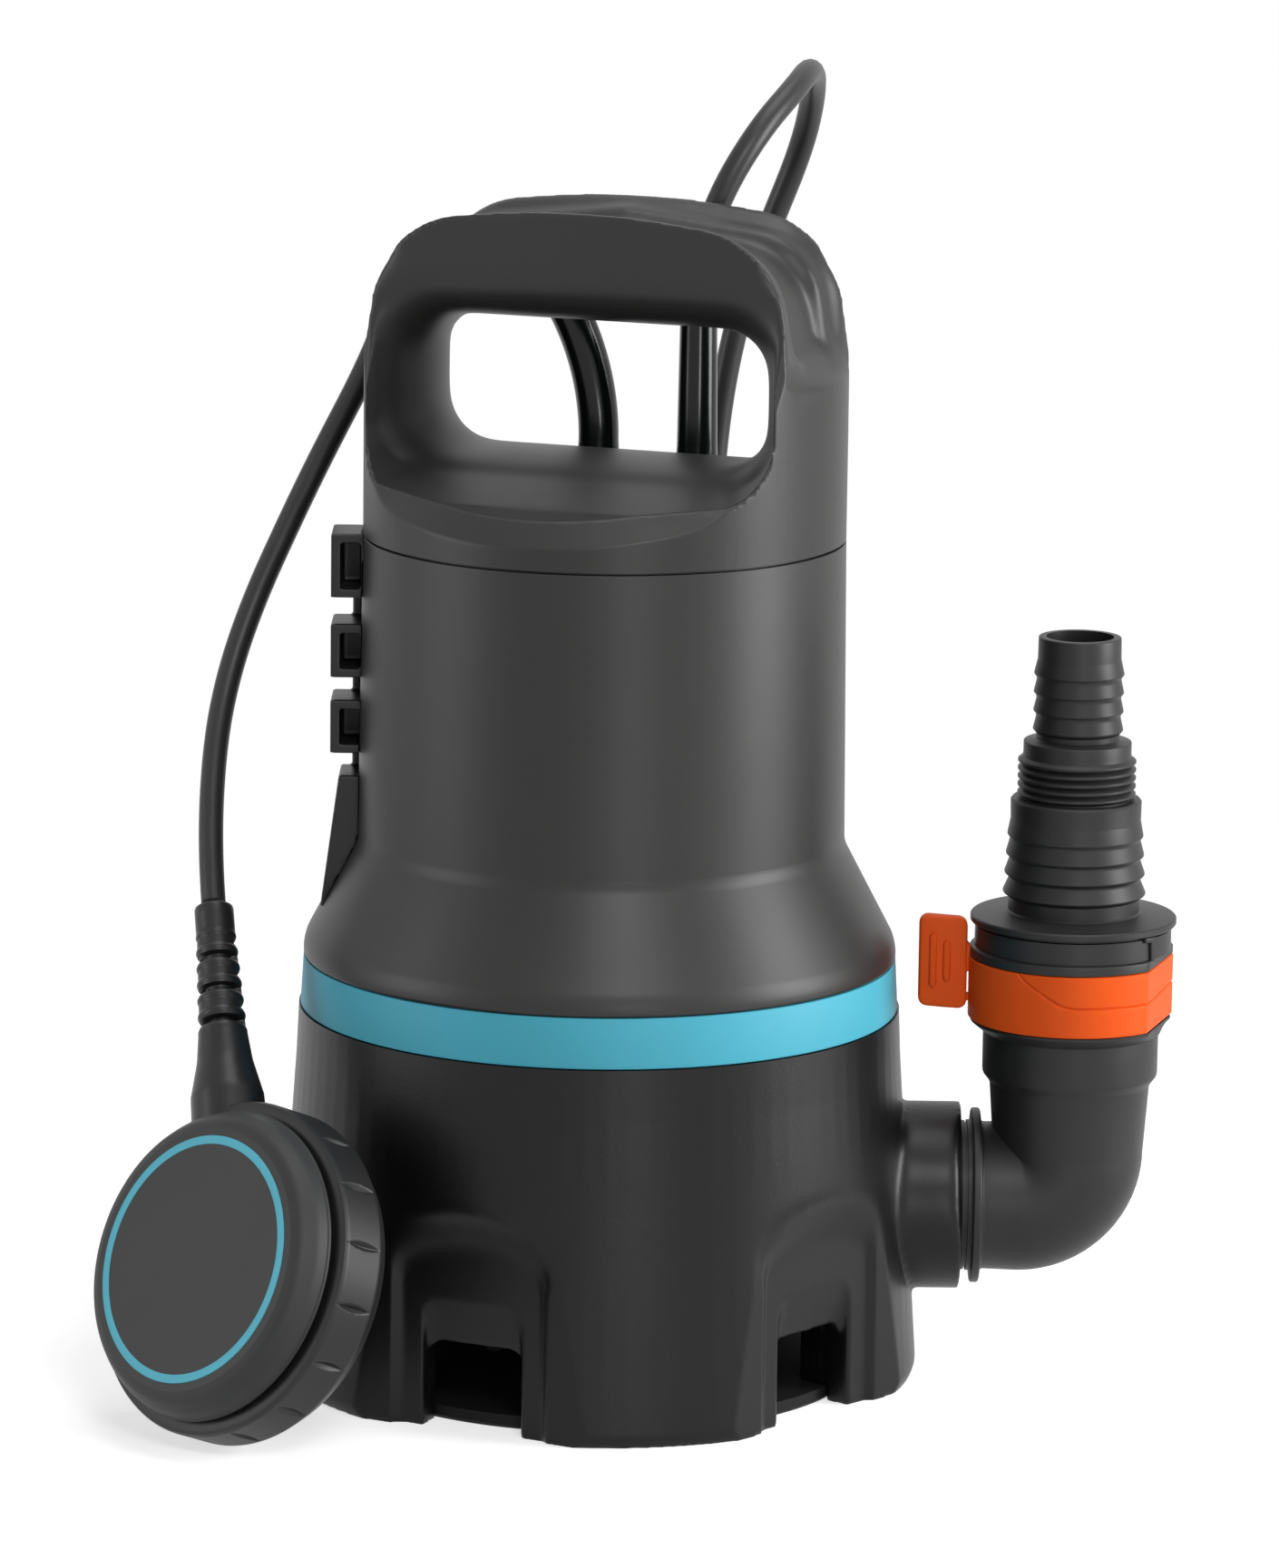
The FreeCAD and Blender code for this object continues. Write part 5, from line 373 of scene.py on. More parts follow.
TRIANGLE_LIMIT = 190000


def softened(name, node_name, voxel, passes, material, body, stretch=(), trims=(), shape=None,
             weight=None, more_passes=0):
    """A copy of a CAD node with its edges rounded, by remeshing it finely and smoothing it.

    stretch lists (height, shift): points at that height are moved first, so that the end
    which a trim at (height, keep_below) then cuts is crisp. shape moves the fine points;
    weight gives each point's share, from 0 to 1, of more_passes further rounds of smoothing.
    """
    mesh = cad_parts[node_name].data.copy()
    bm = bmesh.new()
    bm.from_mesh(mesh)
    bmesh.ops.remove_doubles(bm, verts=bm.verts[:], dist=0.00001)
    for height, shift in stretch:
        ends = [v for v in bm.verts if abs(v.co.z - height * MM) < 0.00002]
        bmesh.ops.translate(bm, verts=ends, vec=(0, 0, shift * MM))
    bm.to_mesh(mesh)
    bm.free()
    piece = loose_piece(name, mesh)
    remesh = piece.modifiers.new("fine", "REMESH")
    remesh.mode = "VOXEL"
    remesh.voxel_size = voxel * MM
    fine = taken_off(piece)
    if shape:
        shape(fine)
    piece = loose_piece(name, fine)
    soften(piece, passes)
    if weight:
        group = piece.vertex_groups.new(name="more")
        for vertex in fine.vertices:
            share = weight(vertex.co / MM)
            if share > 0:
                group.add([vertex.index], share, "REPLACE")
        soften(piece, more_passes, "more")
    triangles = 2 * len(fine.polygons)
    if triangles > TRIANGLE_LIMIT:
        piece.modifiers.new("fewer", "DECIMATE").ratio = TRIANGLE_LIMIT / triangles
    ready = taken_off(piece)
    bm = bmesh.new()
    bm.from_mesh(ready)
    for height, keep_below in trims:
        cut = bmesh.ops.bisect_plane(
            bm, geom=bm.verts[:] + bm.edges[:] + bm.faces[:], dist=0.000001,
            plane_co=(0, 0, height * MM), plane_no=(0, 0, 1),
            clear_outer=keep_below, clear_inner=not keep_below,
        )
        rim = [e for e in cut["geom_cut"] if isinstance(e, bmesh.types.BMEdge)]
        bmesh.ops.triangle_fill(bm, edges=rim, use_beauty=True, use_dissolve=False)
    bm.to_mesh(ready)
    bm.free()
    ready.shade_smooth()
    ready.set_sharp_from_angle(angle=math.radians(50))
    ready.name = name
    return new_piece(name, ready, material, body, (node_name,))


def ease(start, end, value):
    """Rises smoothly from 0 at start to 1 at end, which may lie on either side."""
    share = min(max((value - start) / (end - start), 0), 1)
    return share * share * (3 - 2 * share)


def rounded_line(points, rounds, steps=10):
    """A line of (x, y) points with arcs of the given radii at some of its corners."""
    line = [Vector(points[0])]
    for index in range(1, len(points) - 1):
        before, corner, after = (Vector(point) for point in points[index - 1:index + 2])
        radius = rounds.get(index, 0)
        if not radius:
            line.append(corner)
            continue
        back = (before - corner).normalized()
        ahead = (after - corner).normalized()
        half = back.angle(ahead) / 2
        centre = corner + (back + ahead).normalized() * (radius / math.sin(half))
        first = corner + back * (radius / math.tan(half)) - centre
        last = corner + ahead * (radius / math.tan(half)) - centre
        for step in range(steps + 1):
            line.append(centre + first.lerp(last, step / steps).normalized() * radius)
    line.append(Vector(points[-1]))
    return line


def nearest(line, place):
    """Where a line of points comes nearest to a place: the gap from there and the line's heading."""
    best = None
    for start, end in zip(line, line[1:]):
        along = end - start
        share = min(max((place - start).dot(along) / along.length_squared, 0), 1)
        gap = place - start - along * share
        if best is None or gap.length < best[0].length:
            best = gap, along
    return best


# Cords

MAINS_DIAMETER = 7.2
MAINS_ROUTE = [
    (25.5, 26.9, 300), (25.5, 26.9, 314), (31.5, 26, 332), (42, 32, 349), (52.5, 47.5, 359.5),
    (57, 69, 363), (58.5, 89.5, 354.5), (55.5, 104.5, 336), (45.5, 108, 310), (38, 106, 288),
    (33, 106, 263), (30.5, 106, 236), (30, 106, 206), (31, 104, 176), (33, 101.5, 147),
    (35.5, 99.5, 118), (37.5, 98.5, 90), (38.5, 98, 61), (38.5, 98, 29), (53, 115.5, 4.8),
    (78, 144, 4.8),
]
COIL_BACK = 192
COIL_TURNS = 5.875
COIL_LAYERS = 4
COIL_PITCH = 7.7
COIL_LIFT = 1.2
COIL_START = 10
LOOSE_LENGTH = 662
MAINS_LENGTH = 10000
COIL_STEPS = 16


def coil_place(turns):
    """Point of the coil's line after this many turns from its outer end."""
    total = COIL_TURNS * COIL_LAYERS
    outer = (MAINS_LENGTH - LOOSE_LENGTH) / (2 * math.pi * total) + COIL_TURNS * COIL_PITCH / 2
    layer = turns / COIL_TURNS
    swing = layer % 2
    inward = swing if swing <= 1 else 2 - swing
    nearest = min(range(COIL_LAYERS + 1), key=lambda k: abs(layer - k))
    climb = (turns - nearest * COIL_TURNS) / 0.5
    height = min(int(layer), COIL_LAYERS - 1)
    if 0 < nearest < COIL_LAYERS and abs(climb) < 0.5:
        height = nearest - 0.5 + climb
    radius = outer - inward * COIL_TURNS * COIL_PITCH
    angle = math.radians(COIL_START) + 2 * math.pi * turns
    z = COIL_LIFT + MAINS_DIAMETER / 2 + height * COIL_PITCH
    return Vector((radius * math.cos(angle), COIL_BACK + radius * math.sin(angle), z))


def coil_controls():
    """Control points of the coil's spline, set out a little so that the spline keeps the coil's radius."""
    out = 2 / (1 + math.cos(2 * math.pi / COIL_STEPS)) ** 0.5 / 2 ** 0.5
    count = int(COIL_TURNS * COIL_LAYERS * COIL_STEPS)
    places = []
    for index in range(count + 1):
        place = coil_place(index / COIL_STEPS)
        middle = Vector((0, COIL_BACK, place.z))
        places.append(middle + (place - middle) * out)
    return places


def mains_controls():
    start = coil_place(0)
    angle = math.radians(COIL_START)
    heading = Vector((-math.sin(angle), math.cos(angle), 0))
    lead_in = start - heading * MAINS_DIAMETER
    points = [Vector(p) for p in MAINS_ROUTE] + [lead_in - heading * 22, lead_in]
    points += coil_controls()
    total = COIL_TURNS * COIL_LAYERS
    angle = math.radians(COIL_START) + 2 * math.pi * total
    aim = Vector((-math.sin(angle), math.cos(angle), 0))
    outward = Vector((aim.y, -aim.x, 0))
    start = coil_place(total) + aim * MAINS_DIAMETER
    neck = start + aim * 78 + outward * 12
    neck.z = 19.2
    away = aim * 0.8 + outward * 0.6
    points += [
        start,
        start + aim * 13,
        start + aim * 31 + outward * 0.5 + Vector((0, 0, -1.8)),
        start + aim * 49 + outward + Vector((0, 0, -6)),
        neck - away * 16,
        neck,
    ]
    return points, neck, away


def spline_curve(name, points, diameter):
    """A NURBS tube whose control points are the route's points, in millimetres."""
    curve = bpy.data.curves.new(name, "CURVE")
    curve.dimensions = "3D"
    spline = curve.splines.new("NURBS")
    spline.points.add(len(points) - 1)
    for control, place in zip(spline.points, points):
        control.co = (*(Vector(place) * MM), 1)
    spline.order_u = 3
    spline.use_endpoint_u = True
    curve.resolution_u = 6
    curve.bevel_depth = diameter * MM / 2
    curve.bevel_resolution = 5
    curve.use_fill_caps = True
    return curve


def make_mains_lead():
    points, neck, away = mains_controls()
    curve = spline_curve("mains_lead", points, MAINS_DIAMETER)
    lead = bpy.data.objects.new("mains_lead", curve)
    bpy.context.scene.collection.objects.link(lead)
    curve.materials.append(CABLE_RUBBER)
    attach(lead, "pump")
    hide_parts("mains_cable", "mains_coil", "mains_tail")
    return lead, neck, away


FLOAT_CABLE_DIAMETER = 7.0
FLOAT_ROUTE = [
    (-14.6, 41.5, 301.4), (-18.8, 43.03, 308.03), (-29, 48.5, 314), (-41, 54.5, 314.5),
    (-53, 57, 308), (-61.5, 54, 295), (-68.5, 50.5, 277), (-81, 45, 253), (-90.5, 40.5, 233),
    (-99.5, 34, 213), (-106, 25.5, 194), (-109.5, 14, 175), (-109.8, -6, 150), (-108, -16.4, 135.4),
]


def weld(mesh):
    """Joins the tube's end caps to its wall."""
    bm = bmesh.new()
    bm.from_mesh(mesh)
    bmesh.ops.remove_doubles(bm, verts=bm.verts[:], dist=0.002 * MM)
    bm.to_mesh(mesh)
    bm.free()


def make_float_cable():
    """Float cable as a mesh tube, running between the pump and the float."""
    curve = spline_curve("float_cable_tube", FLOAT_ROUTE, FLOAT_CABLE_DIAMETER)
    curve.resolution_u = 10
    holder = bpy.data.objects.new("float_cable_tube", curve)
    bpy.context.scene.collection.objects.link(holder)
    graph = bpy.context.evaluated_depsgraph_get()
    mesh = bpy.data.meshes.new_from_object(holder.evaluated_get(graph))
    curve.bevel_depth = 0
    bpy.context.view_layer.update()
    graph = bpy.context.evaluated_depsgraph_get()
    line = bpy.data.meshes.new_from_object(holder.evaluated_get(graph))
    bpy.data.objects.remove(holder)
    weld(mesh)
    mesh.name = "float_lead"
    mesh.shade_smooth()
    mesh.set_sharp_from_angle(angle=math.radians(50))
    piece = bpy.data.objects.new("float_lead", mesh)
    bpy.context.scene.collection.objects.link(piece)
    paint(piece, CABLE_RUBBER)
    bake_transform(piece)
    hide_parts("float_cable")
    return piece


mains_lead, plug_neck, plug_away = make_mains_lead()
float_lead = make_float_cable()

# Housing, ring, cap, base and rail

HOUSING = [
    (83.4, 119.1), (83.4, 123.6), (68.4, 152), (67.4, 238.0), (65.8, 238.0), (65.8, 238.6),
    (60.5, 238.6), (60.5, 228.7), (64.4, 222.7), (65.4, 152), (78, 124.6), (78, 106), (81, 106),
    (81, 119.1),
]


def make_housing():
    bm = turned(HOUSING, {1: 11, 2: 9, 0: 1.1, 3: 0.3}, steps=256, segments=10)
    mesh = finished_mesh("housing", bm, sharp=20)
    return new_piece("housing", mesh, HOUSING_GREY, "pump", ("motor_housing",))


def make_ring():
    bm = turned([(81.2, 105.0), (84.2, 105.0), (83.4, 119.0), (81.2, 119.0)], {1: 0.35, 2: 0.35}, steps=256)
    mesh = finished_mesh("ring", bm, sharp=20)
    return new_piece("ring", mesh, RING_TEAL, "pump", ("trim_ring",))


# Lip of the cap and soft parts of cap and base

CAP_RADIUS = 67.4
HANDLE_AXIS = Vector((math.cos(math.radians(-20)), math.sin(math.radians(-20)), 0))
HANDLE_DEPTH = Vector((-HANDLE_AXIS.y, HANDLE_AXIS.x, 0))
LIP_LINE = rounded_line(
    [(25, 350), (25, 296), (42, 257.3), (62, 251.3), (80, 245.9)],
    {1: 70, 2: 30},
)
BEVEL_WIDTH = 5.4
BEVEL_HEIGHT = 5.0


def under_lip(place):
    """Depth under the line of the cap's front and lip, with the direction that leads deeper."""
    gap, along = nearest(LIP_LINE, place)
    inward = Vector((along.y, -along.x)).normalized()
    return gap.dot(inward), inward


def bevel_lip(mesh):
    """Bevels the lip all along, narrower where it runs up the handle's sides."""
    for vertex in mesh.vertices:
        place = vertex.co / MM
        radius = math.hypot(place.x, place.y)
        if radius < CAP_RADIUS - BEVEL_WIDTH - 1 or not 240 < place.z < 300:
            continue
        across = place.dot(HANDLE_DEPTH)
        depth, inward = under_lip(Vector((abs(across), place.z)))
        if not -1 < depth < BEVEL_HEIGHT:
            continue
        size = 0.25 + 0.75 * ease(27, 50, abs(across))
        width, height = BEVEL_WIDTH * size, BEVEL_HEIGHT * size
        share = (CAP_RADIUS - radius) / width + depth / height
        if share >= 1:
            continue
        side = math.copysign(inward.x, inward.x * across)
        slope = (HANDLE_DEPTH * side + Vector((0, 0, inward.y))) / height
        slope -= Vector((place.x, place.y, 0)) / (radius * width)
        vertex.co += slope * ((1 - share) / slope.length_squared * MM)


GLAND_HOLES = [HANDLE_AXIS * side * 14.8 + HANDLE_DEPTH * 34 for side in (-1, 1)]


def cap_softness(place):
    """How far a point of the cap lies in the soft hand hole, on its floor or in the groove on top."""
    along = abs(place.dot(HANDLE_AXIS))
    across = abs(place.dot(HANDLE_DEPTH))
    radius = math.hypot(place.x, place.y)
    above_lip = 8 * ease(256, 268, place.z)
    hole = ease(57.5 + above_lip, 52 + above_lip, radius) * ease(61.8, 58.5, along)
    hole *= ease(321, 313, place.z) * ease(246, 250, place.z)
    for gland in GLAND_HOLES:
        hole *= ease(9, 12, math.hypot(place.x - gland.x, place.y - gland.y))
    end = ease(43, 48, along) * ease(268, 276, place.z)
    groove = ease(25, 20, across) * max(ease(311, 317, place.z), end)
    return max(hole, groove)


def base_softness(place):
    """Softens the tops of the recesses between the base's legs."""
    return ease(81, 83, math.hypot(place.x, place.y)) * ease(40, 54, place.z) * ease(76, 68, place.z)


make_housing()
make_ring()
softened("cap", "handle_cap", 0.7, 3, HOUSING_GREY, "pump",
         stretch=[(238.7, -6)], trims=[(238.7, False)], shape=bevel_lip, weight=cap_softness, more_passes=150)
softened("base", "pump_base", 0.8, 3, BASE_GREY_PAINTED_SHADE, "pump",
         stretch=[(104.9, 6)], trims=[(104.8, True)], weight=base_softness, more_passes=120)
softened("rail", "clip_rail", 0.5, 3, RAIL_BLACK, "pump")

# Outlet

OUTLET_HEIGHT = 50.0
UPRIGHT_PLACE = 133.3
LEVEL_PIPE = Matrix.Translation((0, 0, OUTLET_HEIGHT)) @ Matrix.Rotation(math.radians(90), 4, "Y")
UPRIGHT_PIPE = Matrix.Translation((UPRIGHT_PLACE, 0, 0))


def joined(shells):
    """One bmesh from several closed shells, each given with its place."""
    whole = bmesh.new()
    for shell, place in shells:
        bmesh.ops.remove_doubles(shell, verts=shell.verts[:], dist=0.002)
        bmesh.ops.recalc_face_normals(shell, faces=shell.faces[:])
        bmesh.ops.transform(shell, matrix=place, verts=shell.verts[:])
        part = bpy.data.meshes.new("shell")
        shell.to_mesh(part)
        shell.free()
        whole.from_mesh(part)
        bpy.data.meshes.remove(part)
    return whole


def bend_shell(radius, offset):
    """The elbow's corner: a disc cut at the bend's axis and turned from hanging down to pointing along X."""
    bm = bmesh.new()
    hanging = Matrix.Translation((0, 0, -offset)) @ Matrix.Rotation(math.radians(90), 4, "Y")
    bmesh.ops.create_circle(bm, cap_ends=True, radius=radius, segments=88, matrix=hanging)
    bmesh.ops.bisect_plane(
        bm, geom=bm.verts[:] + bm.edges[:] + bm.faces[:], dist=0.0001, plane_co=(0, 0, 0),
        plane_no=(0, 0, 1), clear_outer=True, clear_inner=False,
    )
    bmesh.ops.spin(
        bm, geom=bm.verts[:] + bm.edges[:] + bm.faces[:], cent=(0, 0, 0), axis=(0, -1, 0), dvec=(0, 0, 0),
        angle=math.radians(90), steps=24, use_merge=False, use_normal_flip=False, use_duplicate=False,
    )
    return bm


def make_elbow():
    level = turned([
        (17.2, 82.0), (19.0, 82.0), (19.0, 89.2), (17.95, 89.2), (17.95, 90.8), (19.0, 90.8), (19.0, 102.9),
        (21.2, 102.9), (21.2, 104.0), (20.6, 104.1), (20.6, 104.5), (21.4, 104.6), (21.4, 105.9),
        (24.8, 105.9), (24.8, 108.3), (21.2, 108.7), (20.9, 109.6), (21.2, 119.3), (17.2, 119.3),
    ], {13: 0.5, 14: 0.7, 15: 0.4}, steps=160)
    upright = turned([
        (17.2, 64.0), (21.2, 64.0), (22.6, 83.6), (24.6, 86.2), (24.75, 87.4), (24.75, 98.4), (25.4, 98.9),
        (28.5, 101.4), (28.5, 102.1), (24.75, 102.1), (24.75, 119.5), (21.0, 119.5), (21.0, 103.3),
        (17.2, 103.3),
    ], {2: 3.0, 3: 1.5, 6: 0.5, 7: 0.3}, steps=160)
    flatten(upright)
    corner = Matrix.Translation((119.3, 0, 64.0))
    bm = joined([(level, LEVEL_PIPE), (upright, UPRIGHT_PIPE), (bend_shell(21.2, 14.0), corner)])
    mesh = finished_mesh("elbow", bm, sharp=35, turn_out=False)
    return new_piece("elbow", mesh, FITTING_GREY, "elbow", ("outlet_elbow",))


COLLAR_LOW = 102.4
COLLAR_HIGH = 119.9
COLLAR_INNER = 24.85
COLLAR_OUTER = 29.2
COLLAR_EDGE = 0.4
COLLAR_ROWS = 69
COLLAR_FRONT = -93.4
SPLIT_LINE = rounded_line(
    [(-17.6, 122.0), (-15.6, 119.6), (-14.0, 117.9), (-3.2, 111.6), (0.5, 110.9), (23.9, 110.8), (52, 111.9),
     (80, 112.2)],
    {3: 5.0},
)
SPLIT_DEPTH = 0.5
FLAT_SIDE = 75.0
FLAT_DISTANCE = 25.8


def flatten(shell):
    """Moves what stands out beyond the collar's flat side onto that flat, but for the disc on top."""
    turn = math.radians(COLLAR_FRONT + FLAT_SIDE)
    out = Vector((math.cos(turn), math.sin(turn), 0))
    for vertex in shell.verts:
        beyond = vertex.co.dot(out) - FLAT_DISTANCE
        if beyond > 0 and vertex.co.z < 123:
            vertex.co -= out * beyond


def collar_radius(angle, height):
    """The collar's outside, with a flat on one side and the line where its two parts meet."""
    angle = (angle - COLLAR_FRONT + 180) % 360 - 180
    radius = COLLAR_OUTER
    away = angle - FLAT_SIDE
    if abs(away) < 60:
        radius = min(radius, FLAT_DISTANCE / math.cos(math.radians(away)))
    place = Vector((math.radians(angle) * COLLAR_OUTER, height))
    if -20 < place.x < 80 and 110 < height:
        radius -= SPLIT_DEPTH * ease(0.42, 0.1, nearest(SPLIT_LINE, place)[0].length)
    edge = min(height - COLLAR_LOW, COLLAR_HIGH - height)
    if edge < COLLAR_EDGE:
        radius -= COLLAR_EDGE - math.sqrt(max(COLLAR_EDGE ** 2 - (COLLAR_EDGE - edge) ** 2, 0))
    return radius


def make_collar():
    heights = [COLLAR_LOW + (COLLAR_HIGH - COLLAR_LOW) * row / COLLAR_ROWS for row in range(COLLAR_ROWS + 1)]
    outside = [(COLLAR_OUTER, height) for height in heights]
    wall = turned(outside + [(COLLAR_INNER, COLLAR_HIGH), (COLLAR_INNER, COLLAR_LOW)], steps=720)
    carve(wall, COLLAR_INNER + 1, collar_radius)
    tab = slab(
        [(96.8, 104.8), (103.6, 104.4), (103.6, 130.6), (90.0, 131.6), (90.0, 105.4)],
        {1: 2.4, 2: 2.6, 3: 2.6, 4: 2.4}, 2.3, 0.9,
    )
    web = slab(
        [(102.9, 115.0), (105.6, 115.4), (106.5, 117.6), (106.5, 120.0), (104.8, 122.4), (102.9, 124.6)],
        {1: 0.5}, 1.7, 0.5,
    )
    tooth = slab([(103.0, 106.6), (105.6, 107.0), (105.6, 109.0), (103.0, 108.6)], {}, 1.4, 0.3)
    ribs = []
    for middle, low, high in ((93.9, 110.6, 126.6), (97.8, 112.2, 124.6)):
        ribs.append(slab(
            [(middle - 1.1, low + 1), (middle, low), (middle + 1.1, low + 1), (middle + 1.1, high - 1),
             (middle, high), (middle - 1.1, high - 1)],
            {}, 3.3, 0.8,
        ))
    here = Matrix.Identity(4)
    shells = [(wall, UPRIGHT_PIPE)] + [(shell, here) for shell in [tab, web, tooth] + ribs]
    mesh = finished_mesh("collar", joined(shells), sharp=38, turn_out=False)
    return new_piece("collar", mesh, COLLAR_ORANGE, "collar", ("lock_collar",))


def connector_profile():
    """Profile of the hose connector with the index of each point that is rounded."""
    points = [
        (16.5, 106.3), (20.9, 106.3), (20.9, 110.3), (19.85, 110.3), (19.85, 111.9), (20.9, 111.9),
        (20.9, 120.2), (29.0, 120.2), (29.0, 122.7), (27.7, 123.0), (27.6, 129.0), (26.8, 129.2),
        (26.8, 129.8), (28.7, 129.9), (29.0, 130.3), (29.0, 131.6), (28.6, 132.0), (19.0, 133.0),
        (18.5, 133.5), (18.5, 137.2),
    ]
    rounds = {8: 0.4}
    for index in range(4):
        edge = 138.4 + 5.5 * index
        rounds[len(points)] = 0.5
        points.append((20.2 - 0.35 * index, edge))
        rounds[len(points)] = 1.0
        points.append((18.3, edge + 4.4))
    points += [(18.4, 164.7), (17.9, 165.3), (15.3, 165.3)]
    for index in range(5):
        foot = 165.7 + 2.309 * index
        for share, radius in ((0.0, 15.3), (0.38, 16.6), (0.62, 16.6)):
            if share:
                rounds[len(points)] = 0.2
            points.append((radius, foot + 2.309 * share))
    rounds[len(points) + 2] = 0.4
    points += [
        (15.3, 177.3), (15.15, 178.4), (15.15, 181.7), (12.2, 182.1), (11.7, 182.5), (11.7, 183.9),
    ]
    for index in range(4):
        edge = 185.0 + 5.25 * index
        rounds[len(points)] = 0.5
        points.append((12.7, edge))
        rounds[len(points)] = 1.5
        points.append((11.7, edge + 4.3))
    rounds[len(points)] = 0.4
    points += [(11.6, 211.3), (9.5, 211.3), (9.5, 181.7), (13.0, 175.2), (13.0, 165.3), (16.5, 159.3)]
    return points, rounds


PEG_SIDE = 50.0


def make_connector():
    points, rounds = connector_profile()
    body = turned(points, rounds, steps=160, segments=3)
    flatten(body)
    peg = slab(
        [(-2.2, 128.3), (0.2, 128.0), (0.4, 122.7), (2.2, 122.5), (2.2, 129.6), (-2.2, 129.6)],
        {}, 1.5, 0.3,
    )
    peg_turn = Matrix.Rotation(math.radians(COLLAR_FRONT + PEG_SIDE + 90), 4, "Z")
    peg_place = UPRIGHT_PIPE @ peg_turn @ Matrix.Translation((0, -27.0, 0))
    bm = joined([(body, UPRIGHT_PIPE), (peg, peg_place)])
    mesh = finished_mesh("connector", bm, sharp=35, turn_out=False)
    return new_piece("connector", mesh, FITTING_GREY, "connector", ("hose_connector",))


make_elbow()
make_collar()
make_connector()

# Float

FLOAT_AZIMUTH = math.radians(-45.7)
FLOAT_TILT = math.radians(22.3)
FLOAT_ROLL = math.radians(29.0)
FLOAT_MIDDLE = (-96.8, -80.7, 45.8)


def float_place():
    """Turns the float's own frame, Z out of its face and Y along its boot, into the pump's."""
    level = math.cos(FLOAT_TILT)
    face = Vector((math.sin(FLOAT_AZIMUTH) * level, -math.cos(FLOAT_AZIMUTH) * level, math.sin(FLOAT_TILT)))
    side = Vector((math.cos(FLOAT_AZIMUTH), math.sin(FLOAT_AZIMUTH), 0))
    along = face.cross(side) * math.cos(FLOAT_ROLL) - side * math.sin(FLOAT_ROLL)
    turn = Matrix((along.cross(face), along, face)).transposed().to_4x4()
    return Matrix.Translation(FLOAT_MIDDLE) @ turn


def make_front_shell():
    bm = turned([
        (0, 18.6), (32.05, 18.6), (32.05, 17.6), (34.45, 17.6), (34.45, 18.5), (36.6, 18.4), (39.4, 17.3),
        (42.0, 13.6), (42.8, 10.4), (43.2, 10.1), (43.2, 9.3), (42.2, 8.7), (40.9, 8.4), (40.9, 2.0),
        (38.3, 2.0), (38.3, 12.5), (34.6, 16.0), (0, 16.0),
    ], {5: 1.0, 6: 4.0, 7: 6.0, 9: 0.2, 10: 0.3}, steps=192, segments=6)
    mesh = finished_mesh("float_front", joined([(bm, float_place())]), sharp=32, turn_out=False)
    return new_piece("float_front", mesh, FLOAT_GREY, "float", ("float_front_shell",))


def make_face_ring():
    bm = turned([(32.0, 17.6), (34.4, 17.6), (34.4, 18.75), (32.0, 18.75)], {2: 0.2, 3: 0.2}, steps=192)
    mesh = finished_mesh("float_ring", joined([(bm, float_place())]), sharp=32, turn_out=False)
    return new_piece("float_ring", mesh, FLOAT_RING_BLUE, "float", ("float_face_ring",))


RIM_RADIUS = 46.7
RIM_ROWS = 24
RIM_NOTCHES = 17
NOTCH_TURN = -8.5
NOTCH_DEPTH = 1.2
NOTCH_HALF_WIDTH = 1.3
NOTCH_HALF_LENGTH = 6.3
REAR_OUTSIDE = [(30.0, -17.5), (36.0, -16.6), (40.0, -14.6), (43.4, -11.6), (45.6, -8.3), (46.5, -6.9)]
REAR_INSIDE = [
    (46.2, 7.1), (45.3, 7.5), (43.0, 7.5), (40.95, 7.4), (41.0, -6.5), (37.0, -11.9), (29.0, -14.9),
]


def rim_radius(angle, height):
    """The rear shell's rim, with notches that run out to a point at both ends."""
    pitch = 360 / RIM_NOTCHES
    away = (angle - NOTCH_TURN + pitch / 2) % pitch - pitch / 2
    reach = abs(math.radians(away)) * RIM_RADIUS
    width = NOTCH_HALF_WIDTH * max(1 - (height / NOTCH_HALF_LENGTH) ** 2, 0)
    return RIM_RADIUS - NOTCH_DEPTH / NOTCH_HALF_WIDTH * max(width - reach, 0)


def make_rear_shell():
    rim = [(RIM_RADIUS, -6.2 + 12.2 * row / RIM_ROWS) for row in range(RIM_ROWS + 1)]
    bm = turned([(0, -18.5)] + REAR_OUTSIDE + rim + REAR_INSIDE + [(0, -15.9)], steps=1080)
    carve(bm, RIM_RADIUS - 0.01, rim_radius)
    mesh = finished_mesh("float_rear", joined([(bm, float_place())]), sharp=32, turn_out=False)
    return new_piece("float_rear", mesh, FLOAT_RIM_GREY, "float", ("float_rear_shell",))


BOOT_LINE = [(39.0, 10.6), (52.0, 10.2), (62.5, 7.8), (70.5, 6.9), (100.0, 5.7), (101.0, 5.5), (108.4, 5.5)]
BOOT_SLOTS = 6
FIRST_SLOT = 73.6
SLOT_PITCH = 4.85
SLOT_HALF_HEIGHT = 1.0
SLOT_CORE = 3.7
SLOT_TURN = -62.0
BOOT_BORE = 3.55
BOOT_NECK = 5.4


def plain_boot_radius(place):
    """The boot's outside without its slots."""
    for (start, first), (end, last) in zip(BOOT_LINE, BOOT_LINE[1:]):
        if place <= end:
            break
    return first + (last - first) * (place - start) / (end - start)


def boot_radius(angle, place):
    """The boot's outside, with slots that reach round it from one side and from the other in turn."""
    radius = plain_boot_radius(place)
    slot = (place - FIRST_SLOT) / SLOT_PITCH
    index = round(slot)
    if 0 <= index < BOOT_SLOTS:
        away = abs(slot - index) * SLOT_PITCH
        radius -= 0.35 * ease(2.2, 1.2, away)
        middle = SLOT_TURN + (180 if index % 2 else 0)
        turn = abs((angle - middle + 180) % 360 - 180)
        end = ease(102, 98, turn)
        radius -= (radius - SLOT_CORE) * end * ease(SLOT_HALF_HEIGHT + 0.15, SLOT_HALF_HEIGHT - 0.15, away)
    return radius


